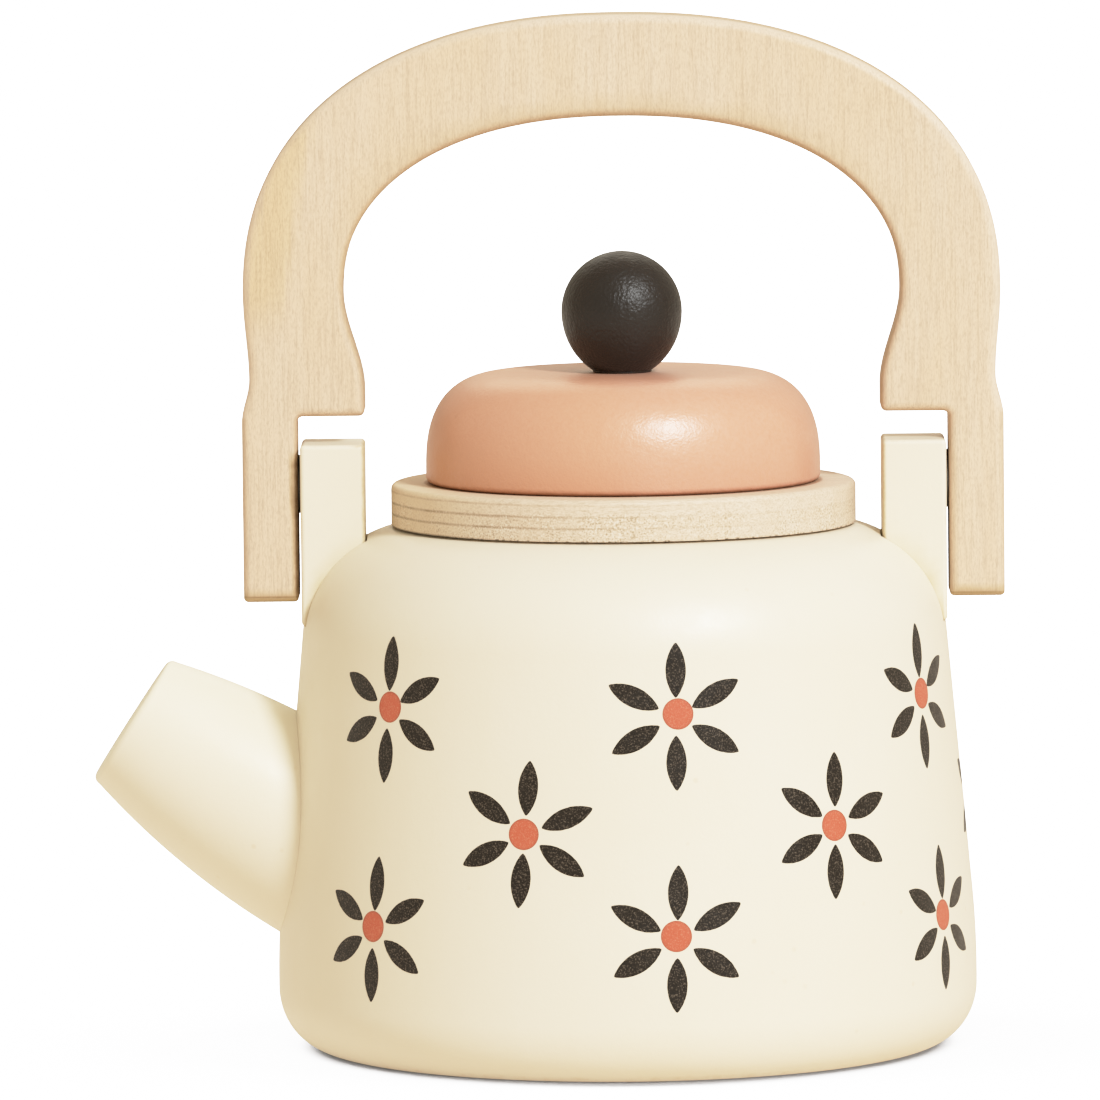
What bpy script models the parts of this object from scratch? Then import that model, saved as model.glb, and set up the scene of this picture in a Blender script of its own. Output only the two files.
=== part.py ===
"""Wooden toy kettle: a turned, hollow body with a plywood collar, a coped spout,
two ears that carry a swinging arch handle on dowel pivots, and a loose lid with
a ball knob.

Metres, +Z up. The origin is on the body's axis at the surface it stands on, and
the spout points along -X. The dimensions below are in millimetres.
"""

import math

import bmesh
import bpy
from mathutils import Matrix, Vector

MM = 0.001

# ---- body ----
BODY_TOP_Z = 87.3            # flat that carries the collar
SHOULDER_R = 19.0            # shoulder arc
WALL_LOW_R, WALL_LOW_Z = 58.4, 18.0
WALL_TAPER = 0.0917          # radius lost per unit of height
FOOT_R = 58.32               # straight band above the rounded foot
FOOT_ROUND = 9.0
BORE_R = 30.0
BASE_R = 36.0
BASE_T = 8.0
BASE_FIT = 0.15
BODY_STEPS = 60

# ---- collar ----
COLLAR_R = 38.7
COLLAR_HOLE_R = 27.0
COLLAR_T = 6.9
COLLAR_CHAMFER = 0.4
SEAT = 0.05                  # gap left between glued flat faces

# ---- lid ----
LID_R = 32.85
LID_FLAT_R = 19.0            # where the shoulder of the cap starts
LID_H = 18.3
LID_SIDE_H = 2.3             # height of the widest line above the seat
LID_POWER = 2.55             # fullness of the shoulder
LID_DISH = 0.2
LID_FOOT_ROUND = 1.4
PLUG_R = 26.6
PLUG_T = 6.0
KNOB_R = 10.05
KNOB_DROP = 11.2             # lower half is a little longer than a sphere
KNOB_FOOT = 10.1             # height of the knob's centre over its foot
DOWEL_R = 3.0
DOWEL_FIT = 0.05

# ---- ears and handle ----
PIVOT_Z = 94.2
EAR_IN_X, EAR_OUT_X = 43.0, 53.65
EAR_D = 15.0
EAR_LOW_Z, EAR_TOP_Z = 71.0, 101.2
EAR_ROUND = 0.9
NOTCH_FIT = 0.12
WASHER_R, WASHER_HOLE_R, WASHER_T = 4.85, 3.12, 0.35
LEG_IN_X, LEG_OUT_X = 54.1, 63.3
LEG_LOW_Z = 74.9
PIN_R, PIN_FIT, PIN_RUN = 3.0, 0.05, 0.085
PIN_IN_X, PIN_OUT_X = 45.4, 63.42
EAR_DOWEL_Z, EAR_DOWEL_IN_X, EAR_DOWEL_OUT_X = 78.6, 34.2, 50.2
HANDLE_T = 12.0
HANDLE_ROUND = 1.2
ARCH_Z = 126.0               # height where the arch is widest
ARCH_OUT_A, ARCH_OUT_B, ARCH_OUT_N = 62.9, 46.15, 2.28
ARCH_IN_A, ARCH_IN_B, ARCH_IN_N = 46.25, 29.25, 2.25
WAIST_OUT_X, WAIST_Z = 62.0, 112.0
FOOT_IN_X, FOOT_IN_Z = 42.85, 109.9
NOTCH_Z = 105.8
NOTCH_ROUND = 1.6

# ---- spout ----
SPOUT_TIP_X, SPOUT_TIP_Z = -82.5, 55.2
SPOUT_ANGLE = 33.3           # degrees above the horizontal
SPOUT_R0, SPOUT_R1, SPOUT_R2 = 11.68, 0.2802, -0.003881
SPOUT_LEN = 44.0
SPOUT_END_ROUND = 1.2
SPOUT_FIT = 0.2
SPOUT_DOWEL_R = 5.0
SPOUT_DOWEL_OUT, SPOUT_DOWEL_IN = 13.0, 43.0   # along the spout, from its tip

KETTLE = "toy_kettle"
CUTTERS = "toy_kettle_cutters"


def clear():
    for obj in list(bpy.data.objects):
        bpy.data.objects.remove(obj, do_unlink=True)


def collection(name):
    found = bpy.data.collections.get(name) or bpy.data.collections.new(name)
    if found.name not in bpy.context.scene.collection.children:
        bpy.context.scene.collection.children.link(found)
    return found


def material(name, rgb, roughness, metallic=0.0):
    mat = bpy.data.materials.get(name) or bpy.data.materials.new(name)
    mat.use_nodes = True
    node = mat.node_tree.nodes["Principled BSDF"]
    node.inputs["Base Color"].default_value = (*rgb, 1.0)
    node.inputs["Roughness"].default_value = roughness
    node.inputs["Metallic"].default_value = metallic
    mat.diffuse_color = (*rgb, 1.0)
    return mat


def place(obj, where, mat=None, parent=None):
    collection(where).objects.link(obj)
    if mat:
        obj.data.materials.append(mat)
    if where == CUTTERS:
        obj.hide_render = True
        obj.display_type = "WIRE"
    if parent:
        obj.parent = parent
    return obj


def empty(name, location):
    obj = bpy.data.objects.new(name, None)
    obj.empty_display_size = 0.01
    obj.location = Vector(location) * MM
    collection(KETTLE).objects.link(obj)
    return obj


def turned(name, profile, steps, where, mat=None, closed=True, parent=None, drop=0.0):
    """A lathe shape: (radius, height) points run round the profile, down its outer side."""
    mesh = bpy.data.meshes.new(name)
    points = [(r * MM, 0.0, (z - drop) * MM) for r, z in profile]
    edges = [(i, i + 1) for i in range(len(points) - 1)]
    if closed:
        edges.append((len(points) - 1, 0))
    mesh.from_pydata(points, edges, [])
    obj = place(bpy.data.objects.new(name, mesh), where, mat, parent)
    screw = obj.modifiers.new("turn", "SCREW")
    screw.axis = "Z"
    screw.angle = math.tau
    screw.steps = screw.render_steps = steps
    screw.use_merge_vertices = True
    screw.merge_threshold = 0.00001
    return obj


def arc(cx, cz, radius, start, stop, count):
    """Points on a circle, from start to stop in degrees."""
    for i in range(count + 1):
        a = math.radians(start + (stop - start) * i / count)
        yield cx + radius * math.cos(a), cz + radius * math.sin(a)


def wall_r(z):
    return WALL_LOW_R - WALL_TAPER * (z - WALL_LOW_Z)


def outer_profile(grow=0.0):
    """The body's outside from the flat top down to the flat foot."""
    lean = math.atan(WALL_TAPER)
    cz = BODY_TOP_Z - SHOULDER_R
    cr = wall_r(cz + SHOULDER_R * math.sin(lean)) - SHOULDER_R * math.cos(lean)
    points = list(arc(cr, cz, SHOULDER_R + grow, 90.0, math.degrees(lean), 10))
    for i in range(1, 4):
        z = points[10][1] + (WALL_LOW_Z - points[10][1]) * i / 3
        points.append((wall_r(z) + grow, z))
    points += arc(FOOT_R - FOOT_ROUND, FOOT_ROUND, FOOT_ROUND + grow, 0.0, -90.0, 8)
    return points


def ring(name, r, hole_r, low, high, chamfer, steps, where, mat=None, parent=None, drop=0.0):
    profile = [
        (hole_r + chamfer, high), (r - chamfer, high), (r, high - chamfer), (r, low + chamfer),
        (r - chamfer, low), (hole_r + chamfer, low), (hole_r, low + chamfer), (hole_r, high - chamfer),
    ]
    return turned(name, profile, steps, where, mat, parent=parent, drop=drop)


def rod(name, r, start, end, chamfer, steps, where, mat=None):
    """A plain dowel between two points."""
    a, b = Vector(start) * MM, Vector(end) * MM
    length = (b - a).length / MM
    profile = [(0.0, length), (r - chamfer, length), (r, length - chamfer), (r, chamfer), (r - chamfer, 0.0), (0.0, 0.0)]
    if chamfer == 0.0:
        profile = [(0.0, length), (r, length), (r, 0.0), (0.0, 0.0)]
    obj = turned(name, profile, steps, where, mat, closed=False)
    obj.matrix_world = Matrix.Translation(a) @ (b - a).to_track_quat("Z", "Y").to_matrix().to_4x4()
    return obj


def block(name, low, high, where, mat=None):
    mesh = bpy.data.meshes.new(name)
    bm = bmesh.new()
    bmesh.ops.create_cube(bm, size=1.0)
    size = Vector(high) - Vector(low)
    for v in bm.verts:
        v.co = Vector((v.co.x * size.x, v.co.y * size.y, v.co.z * size.z)) * MM
    bm.to_mesh(mesh)
    bm.free()
    obj = place(bpy.data.objects.new(name, mesh), where, mat)
    obj.location = (Vector(low) + Vector(high)) * (MM / 2)
    return obj


def bevel(obj, width, segments, angle=35.0):
    mod = obj.modifiers.new("round", "BEVEL")
    mod.width = width * MM
    mod.segments = segments
    mod.limit_method = "ANGLE"
    mod.angle_limit = math.radians(angle)
    mod.use_clamp_overlap = True
    mod.harden_normals = False


def cut(obj, cutter):
    mod = obj.modifiers.new("cut_" + cutter.name, "BOOLEAN")
    mod.operation = "DIFFERENCE"
    mod.solver = "EXACT"
    mod.object = cutter


def superellipse(a, b, n, start, stop, count):
    """Points of |x/a|^n + |z/b|^n = 1, from start to stop in degrees."""
    for i in range(count + 1):
        t = math.radians(start + (stop - start) * i / count)
        c, s = math.cos(t), math.sin(t)
        yield math.copysign(abs(c) ** (2 / n), c) * a, math.copysign(abs(s) ** (2 / n), s) * b


def ease(p, q, count):
    """Points after p up to q on a smooth S whose ends run along the height."""
    for i in range(1, count + 1):
        t = i / count
        yield p[0] + (q[0] - p[0]) * t * t * (3 - 2 * t), p[1] + (q[1] - p[1]) * t


def handle_half():
    """The right half of the handle's outline, from the crown's top round to its underside."""
    points = [(x, ARCH_Z + z) for x, z in superellipse(ARCH_OUT_A, ARCH_OUT_B, ARCH_OUT_N, 90.0, 0.0, 18)]
    points += ease((ARCH_OUT_A, ARCH_Z), (WAIST_OUT_X, WAIST_Z), 4)
    points += ease((WAIST_OUT_X, WAIST_Z), (LEG_OUT_X, NOTCH_Z - 1.0), 3)
    points.append((LEG_OUT_X, LEG_LOW_Z))
    points.append((LEG_IN_X, LEG_LOW_Z))
    points += [(x, z) for x, z in arc(LEG_IN_X - NOTCH_ROUND, NOTCH_Z - NOTCH_ROUND, NOTCH_ROUND, 0.0, 90.0, 4)]
    points += [(x, z) for x, z in arc(FOOT_IN_X + NOTCH_ROUND, NOTCH_Z + NOTCH_ROUND, NOTCH_ROUND, -90.0, -180.0, 4)]
    points.append((FOOT_IN_X, FOOT_IN_Z))
    points += list(ease((FOOT_IN_X, FOOT_IN_Z), (ARCH_IN_A, ARCH_Z), 5))[:-1]
    points += [(x, ARCH_Z + z) for x, z in superellipse(ARCH_IN_A, ARCH_IN_B, ARCH_IN_N, 0.0, 90.0, 14)]
    return points


def handle_outline():
    half = handle_half()
    left = [(-x, z) for x, z in reversed(half)]
    return half + left[1:-1]


def flat_board(name, outline, thickness, where, mat, parent):
    """A filled curve given thickness, turned upright and made into a mesh that can be cut."""
    data = bpy.data.curves.new(name + "_outline", "CURVE")
    data.dimensions = "2D"
    data.fill_mode = "BOTH"
    data.extrude = thickness * MM / 2
    spline = data.splines.new("POLY")
    spline.points.add(len(outline) - 1)
    for point, (x, z) in zip(spline.points, outline):
        point.co = (x * MM, z * MM, 0.0, 1.0)
    spline.use_cyclic_u = True
    drawn = bpy.data.objects.new(name + "_outline", data)
    collection(CUTTERS).objects.link(drawn)
    bpy.context.view_layer.update()
    mesh = bpy.data.meshes.new_from_object(drawn.evaluated_get(bpy.context.evaluated_depsgraph_get()))
    bpy.data.objects.remove(drawn, do_unlink=True)
    mesh.name = name
    mesh.materials.clear()
    bm = bmesh.new()
    bm.from_mesh(mesh)
    bmesh.ops.remove_doubles(bm, verts=bm.verts, dist=0.000001)
    bmesh.ops.dissolve_limit(bm, angle_limit=0.001, verts=bm.verts, edges=bm.edges)
    bmesh.ops.rotate(bm, verts=bm.verts, cent=(0, 0, 0), matrix=Matrix.Rotation(math.pi / 2, 3, "X"))
    bmesh.ops.recalc_face_normals(bm, faces=bm.faces)
    bm.to_mesh(mesh)
    bm.free()
    return place(bpy.data.objects.new(name, mesh), where, mat, parent)


def build():
    clear()
    cream = material("cream_paint", (0.86, 0.79, 0.62), 0.5)
    ear_paint = material("cream_ear_paint", (0.86, 0.80, 0.64), 0.5)
    spout_paint = material("cream_spout_paint", (0.86, 0.79, 0.61), 0.5)
    ply = material("collar_plywood", (0.80, 0.66, 0.44), 0.6)
    board = material("handle_plywood", (0.82, 0.69, 0.48), 0.55)
    inner = material("base_plywood", (0.76, 0.62, 0.42), 0.65)
    pink = material("lid_paint", (0.80, 0.46, 0.32), 0.45)
    plug_wood = material("plug_wood", (0.78, 0.63, 0.42), 0.65)
    black = material("knob_paint", (0.035, 0.028, 0.024), 0.5)
    beech = material("dowel_wood", (0.72, 0.52, 0.33), 0.6)
    fibre = material("washer_fibre", (0.03, 0.03, 0.032), 0.55)

    # body, base and collar
    outside = outer_profile()
    rebate = [
        (BASE_R + BASE_FIT, 0.0), (BASE_R + BASE_FIT, BASE_T + SEAT),
        (BORE_R, BASE_T + SEAT), (BORE_R, BODY_TOP_Z),
    ]
    body = turned("body_shell", outside + rebate, BODY_STEPS, KETTLE, cream)
    base = [(0.0, BASE_T), (BASE_R - 0.4, BASE_T), (BASE_R, BASE_T - 0.4), (BASE_R, 0.0), (0.0, 0.0)]
    turned("base_disc", base, 48, KETTLE, inner, closed=False)
    collar_low = BODY_TOP_Z + SEAT
    collar_top = collar_low + COLLAR_T
    ring("collar_ring", COLLAR_R, COLLAR_HOLE_R, collar_low, collar_top, COLLAR_CHAMFER, 48, KETTLE, ply)

    # spout, coped to the body and pegged to it
    along = Vector((math.cos(math.radians(SPOUT_ANGLE)), 0.0, -math.sin(math.radians(SPOUT_ANGLE))))
    tip = Vector((SPOUT_TIP_X, 0.0, SPOUT_TIP_Z))

    def spout_r(s):
        return SPOUT_R0 + SPOUT_R1 * s + SPOUT_R2 * s * s

    r_end = spout_r(SPOUT_END_ROUND)
    profile = [(0.0, 0.0)]
    profile += arc(r_end - SPOUT_END_ROUND, -SPOUT_END_ROUND, SPOUT_END_ROUND, 90.0, 8.0, 3)
    for i in range(1, 9):
        s = SPOUT_END_ROUND + (SPOUT_LEN - SPOUT_END_ROUND) * i / 8
        profile.append((spout_r(s), -s))
    profile.append((0.0, -SPOUT_LEN))
    spout = turned("spout", profile, 40, KETTLE, spout_paint, closed=False)
    spout.matrix_world = Matrix.Translation(tip * MM) @ (-along).to_track_quat("Z", "Y").to_matrix().to_4x4()
    filled = outer_profile(SPOUT_FIT)
    cope = turned("spout_cope", [(0.0, filled[0][1])] + filled + [(0.0, filled[-1][1])], BODY_STEPS, CUTTERS, closed=False)
    cut(spout, cope)
    peg_out, peg_in = tip + along * SPOUT_DOWEL_OUT, tip + along * SPOUT_DOWEL_IN
    rod("spout_dowel", SPOUT_DOWEL_R, peg_out, peg_in, 0.5, 24, KETTLE, beech)
    peg_hole = rod("spout_dowel_hole", SPOUT_DOWEL_R + 0.12, peg_out - along * 0.3, peg_in + along * 0.3, 0.0, 24, CUTTERS)
    cut(spout, peg_hole)
    cut(body, peg_hole)

    # ears in their notches, each pegged to the body, with the pivot pins
    pivot = empty("handle_pivot", (0.0, 0.0, PIVOT_Z))
    half_d = EAR_D / 2
    handle = flat_board(
        "handle", [(x, z - PIVOT_Z) for x, z in handle_outline()], HANDLE_T, KETTLE, board, pivot
    )
    bevel(handle, HANDLE_ROUND, 2, 50.0)
    for side, name in ((-1, "left"), (1, "right")):
        def span(a, b):
            return min(side * a, side * b), max(side * a, side * b)

        x0, x1 = span(EAR_IN_X, EAR_OUT_X)
        ear = block("bracket_" + name, (x0, -half_d, EAR_LOW_Z), (x1, half_d, EAR_TOP_Z), KETTLE, ear_paint)
        bevel(ear, EAR_ROUND, 2)
        x0, x1 = span(EAR_IN_X - NOTCH_FIT, EAR_OUT_X + 10.0)
        notch = block(
            "notch_" + name, (x0, -half_d - NOTCH_FIT, EAR_LOW_Z - SEAT), (x1, half_d + NOTCH_FIT, BODY_TOP_Z + 5.0), CUTTERS
        )
        cut(body, notch)

        inner_end, outer_end = (side * EAR_DOWEL_IN_X, 0, EAR_DOWEL_Z), (side * EAR_DOWEL_OUT_X, 0, EAR_DOWEL_Z)
        rod("bracket_dowel_" + name, DOWEL_R, inner_end, outer_end, 0.4, 20, KETTLE, beech)
        hole = rod(
            "bracket_dowel_hole_" + name, DOWEL_R + 0.1,
            (side * (EAR_DOWEL_IN_X - 0.3), 0, EAR_DOWEL_Z), (side * (EAR_DOWEL_OUT_X + 0.3), 0, EAR_DOWEL_Z), 0.0, 20, CUTTERS,
        )
        cut(body, hole)
        cut(ear, hole)

        rod("pivot_pin_" + name, PIN_R, (side * PIN_IN_X, 0, PIVOT_Z), (side * PIN_OUT_X, 0, PIVOT_Z), 0.3, 32, KETTLE, beech)
        ear_hole = rod(
            "pin_hole_ear_" + name, PIN_R + PIN_FIT,
            (side * (PIN_IN_X - 0.3), 0, PIVOT_Z), (side * (EAR_OUT_X + 3.0), 0, PIVOT_Z), 0.0, 32, CUTTERS,
        )
        cut(ear, ear_hole)
        leg_hole = rod(
            "pin_hole_leg_" + name, PIN_R + PIN_RUN,
            (side * (LEG_IN_X - 3.0), 0, PIVOT_Z), (side * (LEG_OUT_X + 3.0), 0, PIVOT_Z), 0.0, 32, CUTTERS,
        )
        cut(handle, leg_hole)
        gap = (LEG_IN_X - EAR_OUT_X - WASHER_T) / 2
        washer = ring("pivot_washer_" + name, WASHER_R, WASHER_HOLE_R, 0.0, WASHER_T, 0.06, 24, KETTLE, fibre)
        turn = Matrix.Rotation(side * math.pi / 2, 4, "Y")
        washer.matrix_world = Matrix.Translation(Vector((side * (EAR_OUT_X + gap), 0, PIVOT_Z)) * MM) @ turn

    # lid, its plug and knob, all on the lid's own empty
    seat_z = collar_top + SEAT
    lift = empty("lid_lift", (0.0, 0.0, seat_z))
    hole_r = DOWEL_R + DOWEL_FIT
    cap = [(hole_r, seat_z + LID_H - LID_DISH)]
    for i in range(1, 4):
        t = i / 4
        cap.append((hole_r + (LID_FLAT_R - hole_r) * t, seat_z + LID_H - LID_DISH * (0.5 + 0.5 * math.cos(math.pi * t))))
    side_z = seat_z + LID_SIDE_H
    cap += [
        (LID_FLAT_R + x, side_z + z)
        for x, z in superellipse(LID_R - LID_FLAT_R, LID_H - LID_SIDE_H, LID_POWER, 90.0, 0.0, 10)
    ]
    cap += list(arc(LID_R - LID_FOOT_ROUND, seat_z + LID_FOOT_ROUND, LID_FOOT_ROUND, 0.0, -90.0, 3))
    cap.append((hole_r, seat_z))
    turned("lid_cap", cap, 48, KETTLE, pink, parent=lift, drop=seat_z)
    ring("lid_plug", PLUG_R, hole_r, seat_z - SEAT - PLUG_T, seat_z - SEAT, 0.4, 48, KETTLE, plug_wood, lift, seat_z)
    foot_z = seat_z + LID_H - LID_DISH + SEAT
    centre_z = foot_z + KNOB_FOOT
    peg_top = centre_z - 2.0
    ball = [(KNOB_R * math.sin(math.radians(a)), centre_z + KNOB_R * math.cos(math.radians(a))) for a in range(0, 91, 10)]
    last = math.degrees(math.acos(KNOB_FOOT / KNOB_DROP))
    for i in range(1, 8):
        a = math.radians(90.0 - (90.0 - last) * i / 7)
        ball.append((KNOB_R * math.sin(a), centre_z - KNOB_DROP * math.cos(a)))
    ball += [(hole_r, foot_z), (hole_r, peg_top + 0.3), (0.0, peg_top + 0.3)]
    turned("knob", ball, 32, KETTLE, black, closed=False, parent=lift, drop=seat_z)
    low = seat_z - SEAT - PLUG_T + 0.1
    peg = [(0.0, peg_top), (DOWEL_R - 0.3, peg_top), (DOWEL_R, peg_top - 0.3), (DOWEL_R, low), (0.0, low)]
    turned("knob_dowel", peg, 32, KETTLE, beech, closed=False, parent=lift, drop=seat_z)


build()
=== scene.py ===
"""Looks of the wooden toy kettle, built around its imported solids.

Metres, +Z up, with the camera on the -Y side and the spout along -X. The
dimensions below are in millimetres and repeat those of the solids.
"""

import math

import bmesh
import bpy
from mathutils import Matrix, Vector, geometry, noise


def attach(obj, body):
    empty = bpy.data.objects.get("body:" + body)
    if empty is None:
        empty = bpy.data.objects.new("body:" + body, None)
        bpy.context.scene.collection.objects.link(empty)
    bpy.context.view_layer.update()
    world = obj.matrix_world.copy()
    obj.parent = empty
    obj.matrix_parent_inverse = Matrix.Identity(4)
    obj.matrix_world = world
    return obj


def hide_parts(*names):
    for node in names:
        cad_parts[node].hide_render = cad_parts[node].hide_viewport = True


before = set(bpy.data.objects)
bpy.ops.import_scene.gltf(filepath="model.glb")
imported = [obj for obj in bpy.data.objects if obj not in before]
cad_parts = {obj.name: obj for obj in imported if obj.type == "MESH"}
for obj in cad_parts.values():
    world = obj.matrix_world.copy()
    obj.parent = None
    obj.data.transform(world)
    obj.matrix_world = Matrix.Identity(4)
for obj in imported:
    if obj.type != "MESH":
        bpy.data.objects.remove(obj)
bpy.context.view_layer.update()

MM = 0.001
TAU = math.tau

# ---- body ----
BODY_TOP_Z = 87.3
SHOULDER_R = 19.0
WALL_LOW_R, WALL_LOW_Z, WALL_TAPER = 58.4, 18.0, 0.0917
FOOT_R, FOOT_ROUND, FOOT_TALL = 58.32, 9.0, 10.2
FOOT_BLEND = 8.0             # half the height over which the taper runs out into the foot
BORE_R, BASE_R, BASE_T = 30.0, 36.0, 8.0
PEG_Z, PEG_IN_X, PEG_OUT_X, PEG_HOLE_R = 78.6, 33.9, 50.5, 3.1    # holes for the pegs behind the ears

# ---- collar ----
COLLAR_R, COLLAR_HOLE_R = 38.7, 27.0
COLLAR_LOW, COLLAR_TOP = 87.35, 94.25

# ---- lid ----
SEAT_Z = 94.30
LID_R, LID_FLAT_R, LID_H, LID_SIDE_H, LID_POWER, LID_DISH, LID_FOOT = 32.85, 19.0, 18.3, 2.3, 2.55, 0.2, 1.15
PLUG_R, PLUG_LOW, PLUG_TOP = 26.6, 88.25, 94.25
KNOB_R, KNOB_DROP, KNOB_Z, KNOB_FOOT_Z, KNOB_FOOT_R = 10.05, 11.2, 122.55, 112.45, 4.9

# ---- ears and handle ----
PIVOT_Z = 94.2
EAR_IN_X, EAR_OUT_X, EAR_D, EAR_LOW_Z, EAR_TOP_Z, EAR_ROUND = 43.0, 53.65, 15.0, 71.0, 101.2, 0.75
NOTCH_FIT, NOTCH_GAP = 0.06, 0.35   # beside the ear, and behind its inner face
WASHER_R, WASHER_HOLE_R, WASHER_T = 4.85, 3.12, 0.35
LEG_IN_X, LEG_OUT_X, LEG_LOW_Z, LEG_CORNER, LEG_CLEAR = 54.1, 63.3, 74.9, 0.8, 2.2
PIN_R, PIN_RUN, PIN_IN_X, PIN_OUT_X = 3.0, 0.085, 45.4, 63.42
HANDLE_T, HANDLE_ROUND = 12.0, 1.5
ARCH_Z = 126.0
ARCH_OUT_A, ARCH_OUT_B, ARCH_OUT_N = 62.9, 46.15, 2.28
ARCH_IN_A, ARCH_IN_B, ARCH_IN_N = 46.25, 29.25, 2.25
WAIST_OUT_X, WAIST_Z = 62.0, 112.0
FOOT_IN_X, FOOT_IN_Z = 42.85, 109.9
NOTCH_Z, NOTCH_ROUND, NOTCH_TOE = 105.8, 1.0, 1.0

# ---- spout ----
SPOUT_TIP = Vector((-82.5, 0.0, 55.2))
SPOUT_ANGLE = 33.3
SPOUT_R0, SPOUT_R1, SPOUT_R2 = 11.68, 0.2802, -0.003881
SPOUT_LEN, SPOUT_END_ROUND = 44.0, 1.3
SPOUT_HOLE_R, SPOUT_HOLE_OUT, SPOUT_HOLE_IN = 5.12, 12.7, 43.3    # for its peg, along it from the tip

# ---- printed flowers: rows run round from one side of the spout to the other ----
PETAL_LEN, PETAL_WIDE, PETAL_TIP, PETAL_OUT = 8.95, 3.34, 0.12, 7.55
DOT_R = 2.55
INK_UP, INK_DOWN = 0.022, 0.10
# each flower's place as degrees round from the front and height, then the row's petal
# directions and how far its petals sit off their dot
PRINT_ROWS = (
    (
        ((-45.0, 60.65), (9.0, 60.65), (63.6, 60.65), (118.0, 60.65), (172.3, 60.65), (226.6, 60.65)),
        (88.8, 28.2, -30.0, -90.4, -151.0, 154.0), (-0.37, -0.44),
    ),
    (
        ((-17.3, 41.2), (37.1, 41.2), (92.0, 41.2), (145.9, 41.2), (200.3, 41.2)),
        (86.6, 21.4, -33.7, -94.1, -153.8, 146.3), (0.17, -0.02),
    ),
    (
        ((-46.2, 24.7), (7.9, 24.7), (64.2, 24.0), (118.2, 24.4), (172.5, 24.7), (227.0, 24.7)),
        (88.0, 27.3, -32.6, -91.2, -150.2, 152.8), (0.17, -0.46),
    ),
)


def srgb(r, g, b):
    """A colour given in display values from 0 to 255, as the linear one that shaders take."""
    out = []
    for v in (r / 255, g / 255, b / 255):
        out.append(v / 12.92 if v <= 0.04045 else ((v + 0.055) / 1.055) ** 2.4)
    return (*out, 1.0)


# --------------------------------------------------------------------------
# shapes
# --------------------------------------------------------------------------

def mesh_object(name, points, faces):
    """A closed mesh from points in millimetres, with its faces turned outward."""
    mesh = bpy.data.meshes.new(name)
    mesh.from_pydata([(x * MM, y * MM, z * MM) for x, y, z in points], [], faces)
    bm = bmesh.new()
    bm.from_mesh(mesh)
    bmesh.ops.remove_doubles(bm, verts=bm.verts, dist=2e-7)
    bmesh.ops.recalc_face_normals(bm, faces=bm.faces)
    bm.to_mesh(mesh)
    bm.free()
    obj = bpy.data.objects.new(name, mesh)
    bpy.context.scene.collection.objects.link(obj)
    return obj


def turn(profile, steps, closed=True):
    """Points and faces of a turned shape. The profile runs down its outer side."""
    points, faces, rings = [], [], []
    for r, z in profile:
        if r < 1e-6:
            rings.append([len(points)] * steps)
            points.append((0.0, 0.0, z))
        else:
            rings.append(list(range(len(points), len(points) + steps)))
            points += [(r * math.cos(TAU * j / steps), r * math.sin(TAU * j / steps), z) for j in range(steps)]
    pairs = list(zip(rings, rings[1:])) + ([(rings[-1], rings[0])] if closed else [])
    for a, b in pairs:
        for j in range(steps):
            k = (j + 1) % steps
            quad = [a[j], b[j], b[k], a[k]]
            ring = [p for i, p in enumerate(quad) if p != quad[i - 1]]
            if len(ring) > 2:
                faces.append(ring)
    return points, faces


def arc(cx, cz, radius, start, stop, count):
    for i in range(count + 1):
        a = math.radians(start + (stop - start) * i / count)
        yield cx + radius * math.cos(a), cz + radius * math.sin(a)


def superellipse(a, b, n, start, stop, count):
    for i in range(count + 1):
        t = math.radians(start + (stop - start) * i / count)
        c, s = math.cos(t), math.sin(t)
        yield math.copysign(abs(c) ** (2 / n), c) * a, math.copysign(abs(s) ** (2 / n), s) * b


def ease(p, q, count):
    for i in range(1, count + 1):
        t = i / count
        yield p[0] + (q[0] - p[0]) * t * t * (3 - 2 * t), p[1] + (q[1] - p[1]) * t


def line(p, q, count):
    """Points after p up to q."""
    for i in range(1, count + 1):
        yield p[0] + (q[0] - p[0]) * i / count, p[1] + (q[1] - p[1]) * i / count


LEAN = math.atan(WALL_TAPER)
SHOULDER_Z = BODY_TOP_Z - SHOULDER_R


def taper_r(z):
    return WALL_LOW_R - WALL_TAPER * (z - WALL_LOW_Z)


SHOULDER_CR = taper_r(SHOULDER_Z + SHOULDER_R * math.sin(LEAN)) - SHOULDER_R * math.cos(LEAN)


def wall_r(z):
    """The body's radius between foot and shoulder: the taper runs out smoothly into the foot."""
    low = (WALL_LOW_R - FOOT_R) / (WALL_LOW_Z - FOOT_ROUND)
    t = min(max((z - (WALL_LOW_Z - FOOT_BLEND)) / (2 * FOOT_BLEND), 0.0), 1.0)
    if t >= 1.0:
        return taper_r(z)
    if t <= 0.0:
        return FOOT_R + low * (z - FOOT_ROUND) - 0.02
    # slope goes evenly from the foot's to the taper's
    start = FOOT_R + low * (WALL_LOW_Z - FOOT_BLEND - FOOT_ROUND) - 0.02
    end = taper_r(WALL_LOW_Z + FOOT_BLEND)
    s0, s1, h = low * 2 * FOOT_BLEND, -WALL_TAPER * 2 * FOOT_BLEND, t
    return (
        (2 * h**3 - 3 * h**2 + 1) * start + (h**3 - 2 * h**2 + h) * s0
        + (-2 * h**3 + 3 * h**2) * end + (h**3 - h**2) * s1
    )


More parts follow.
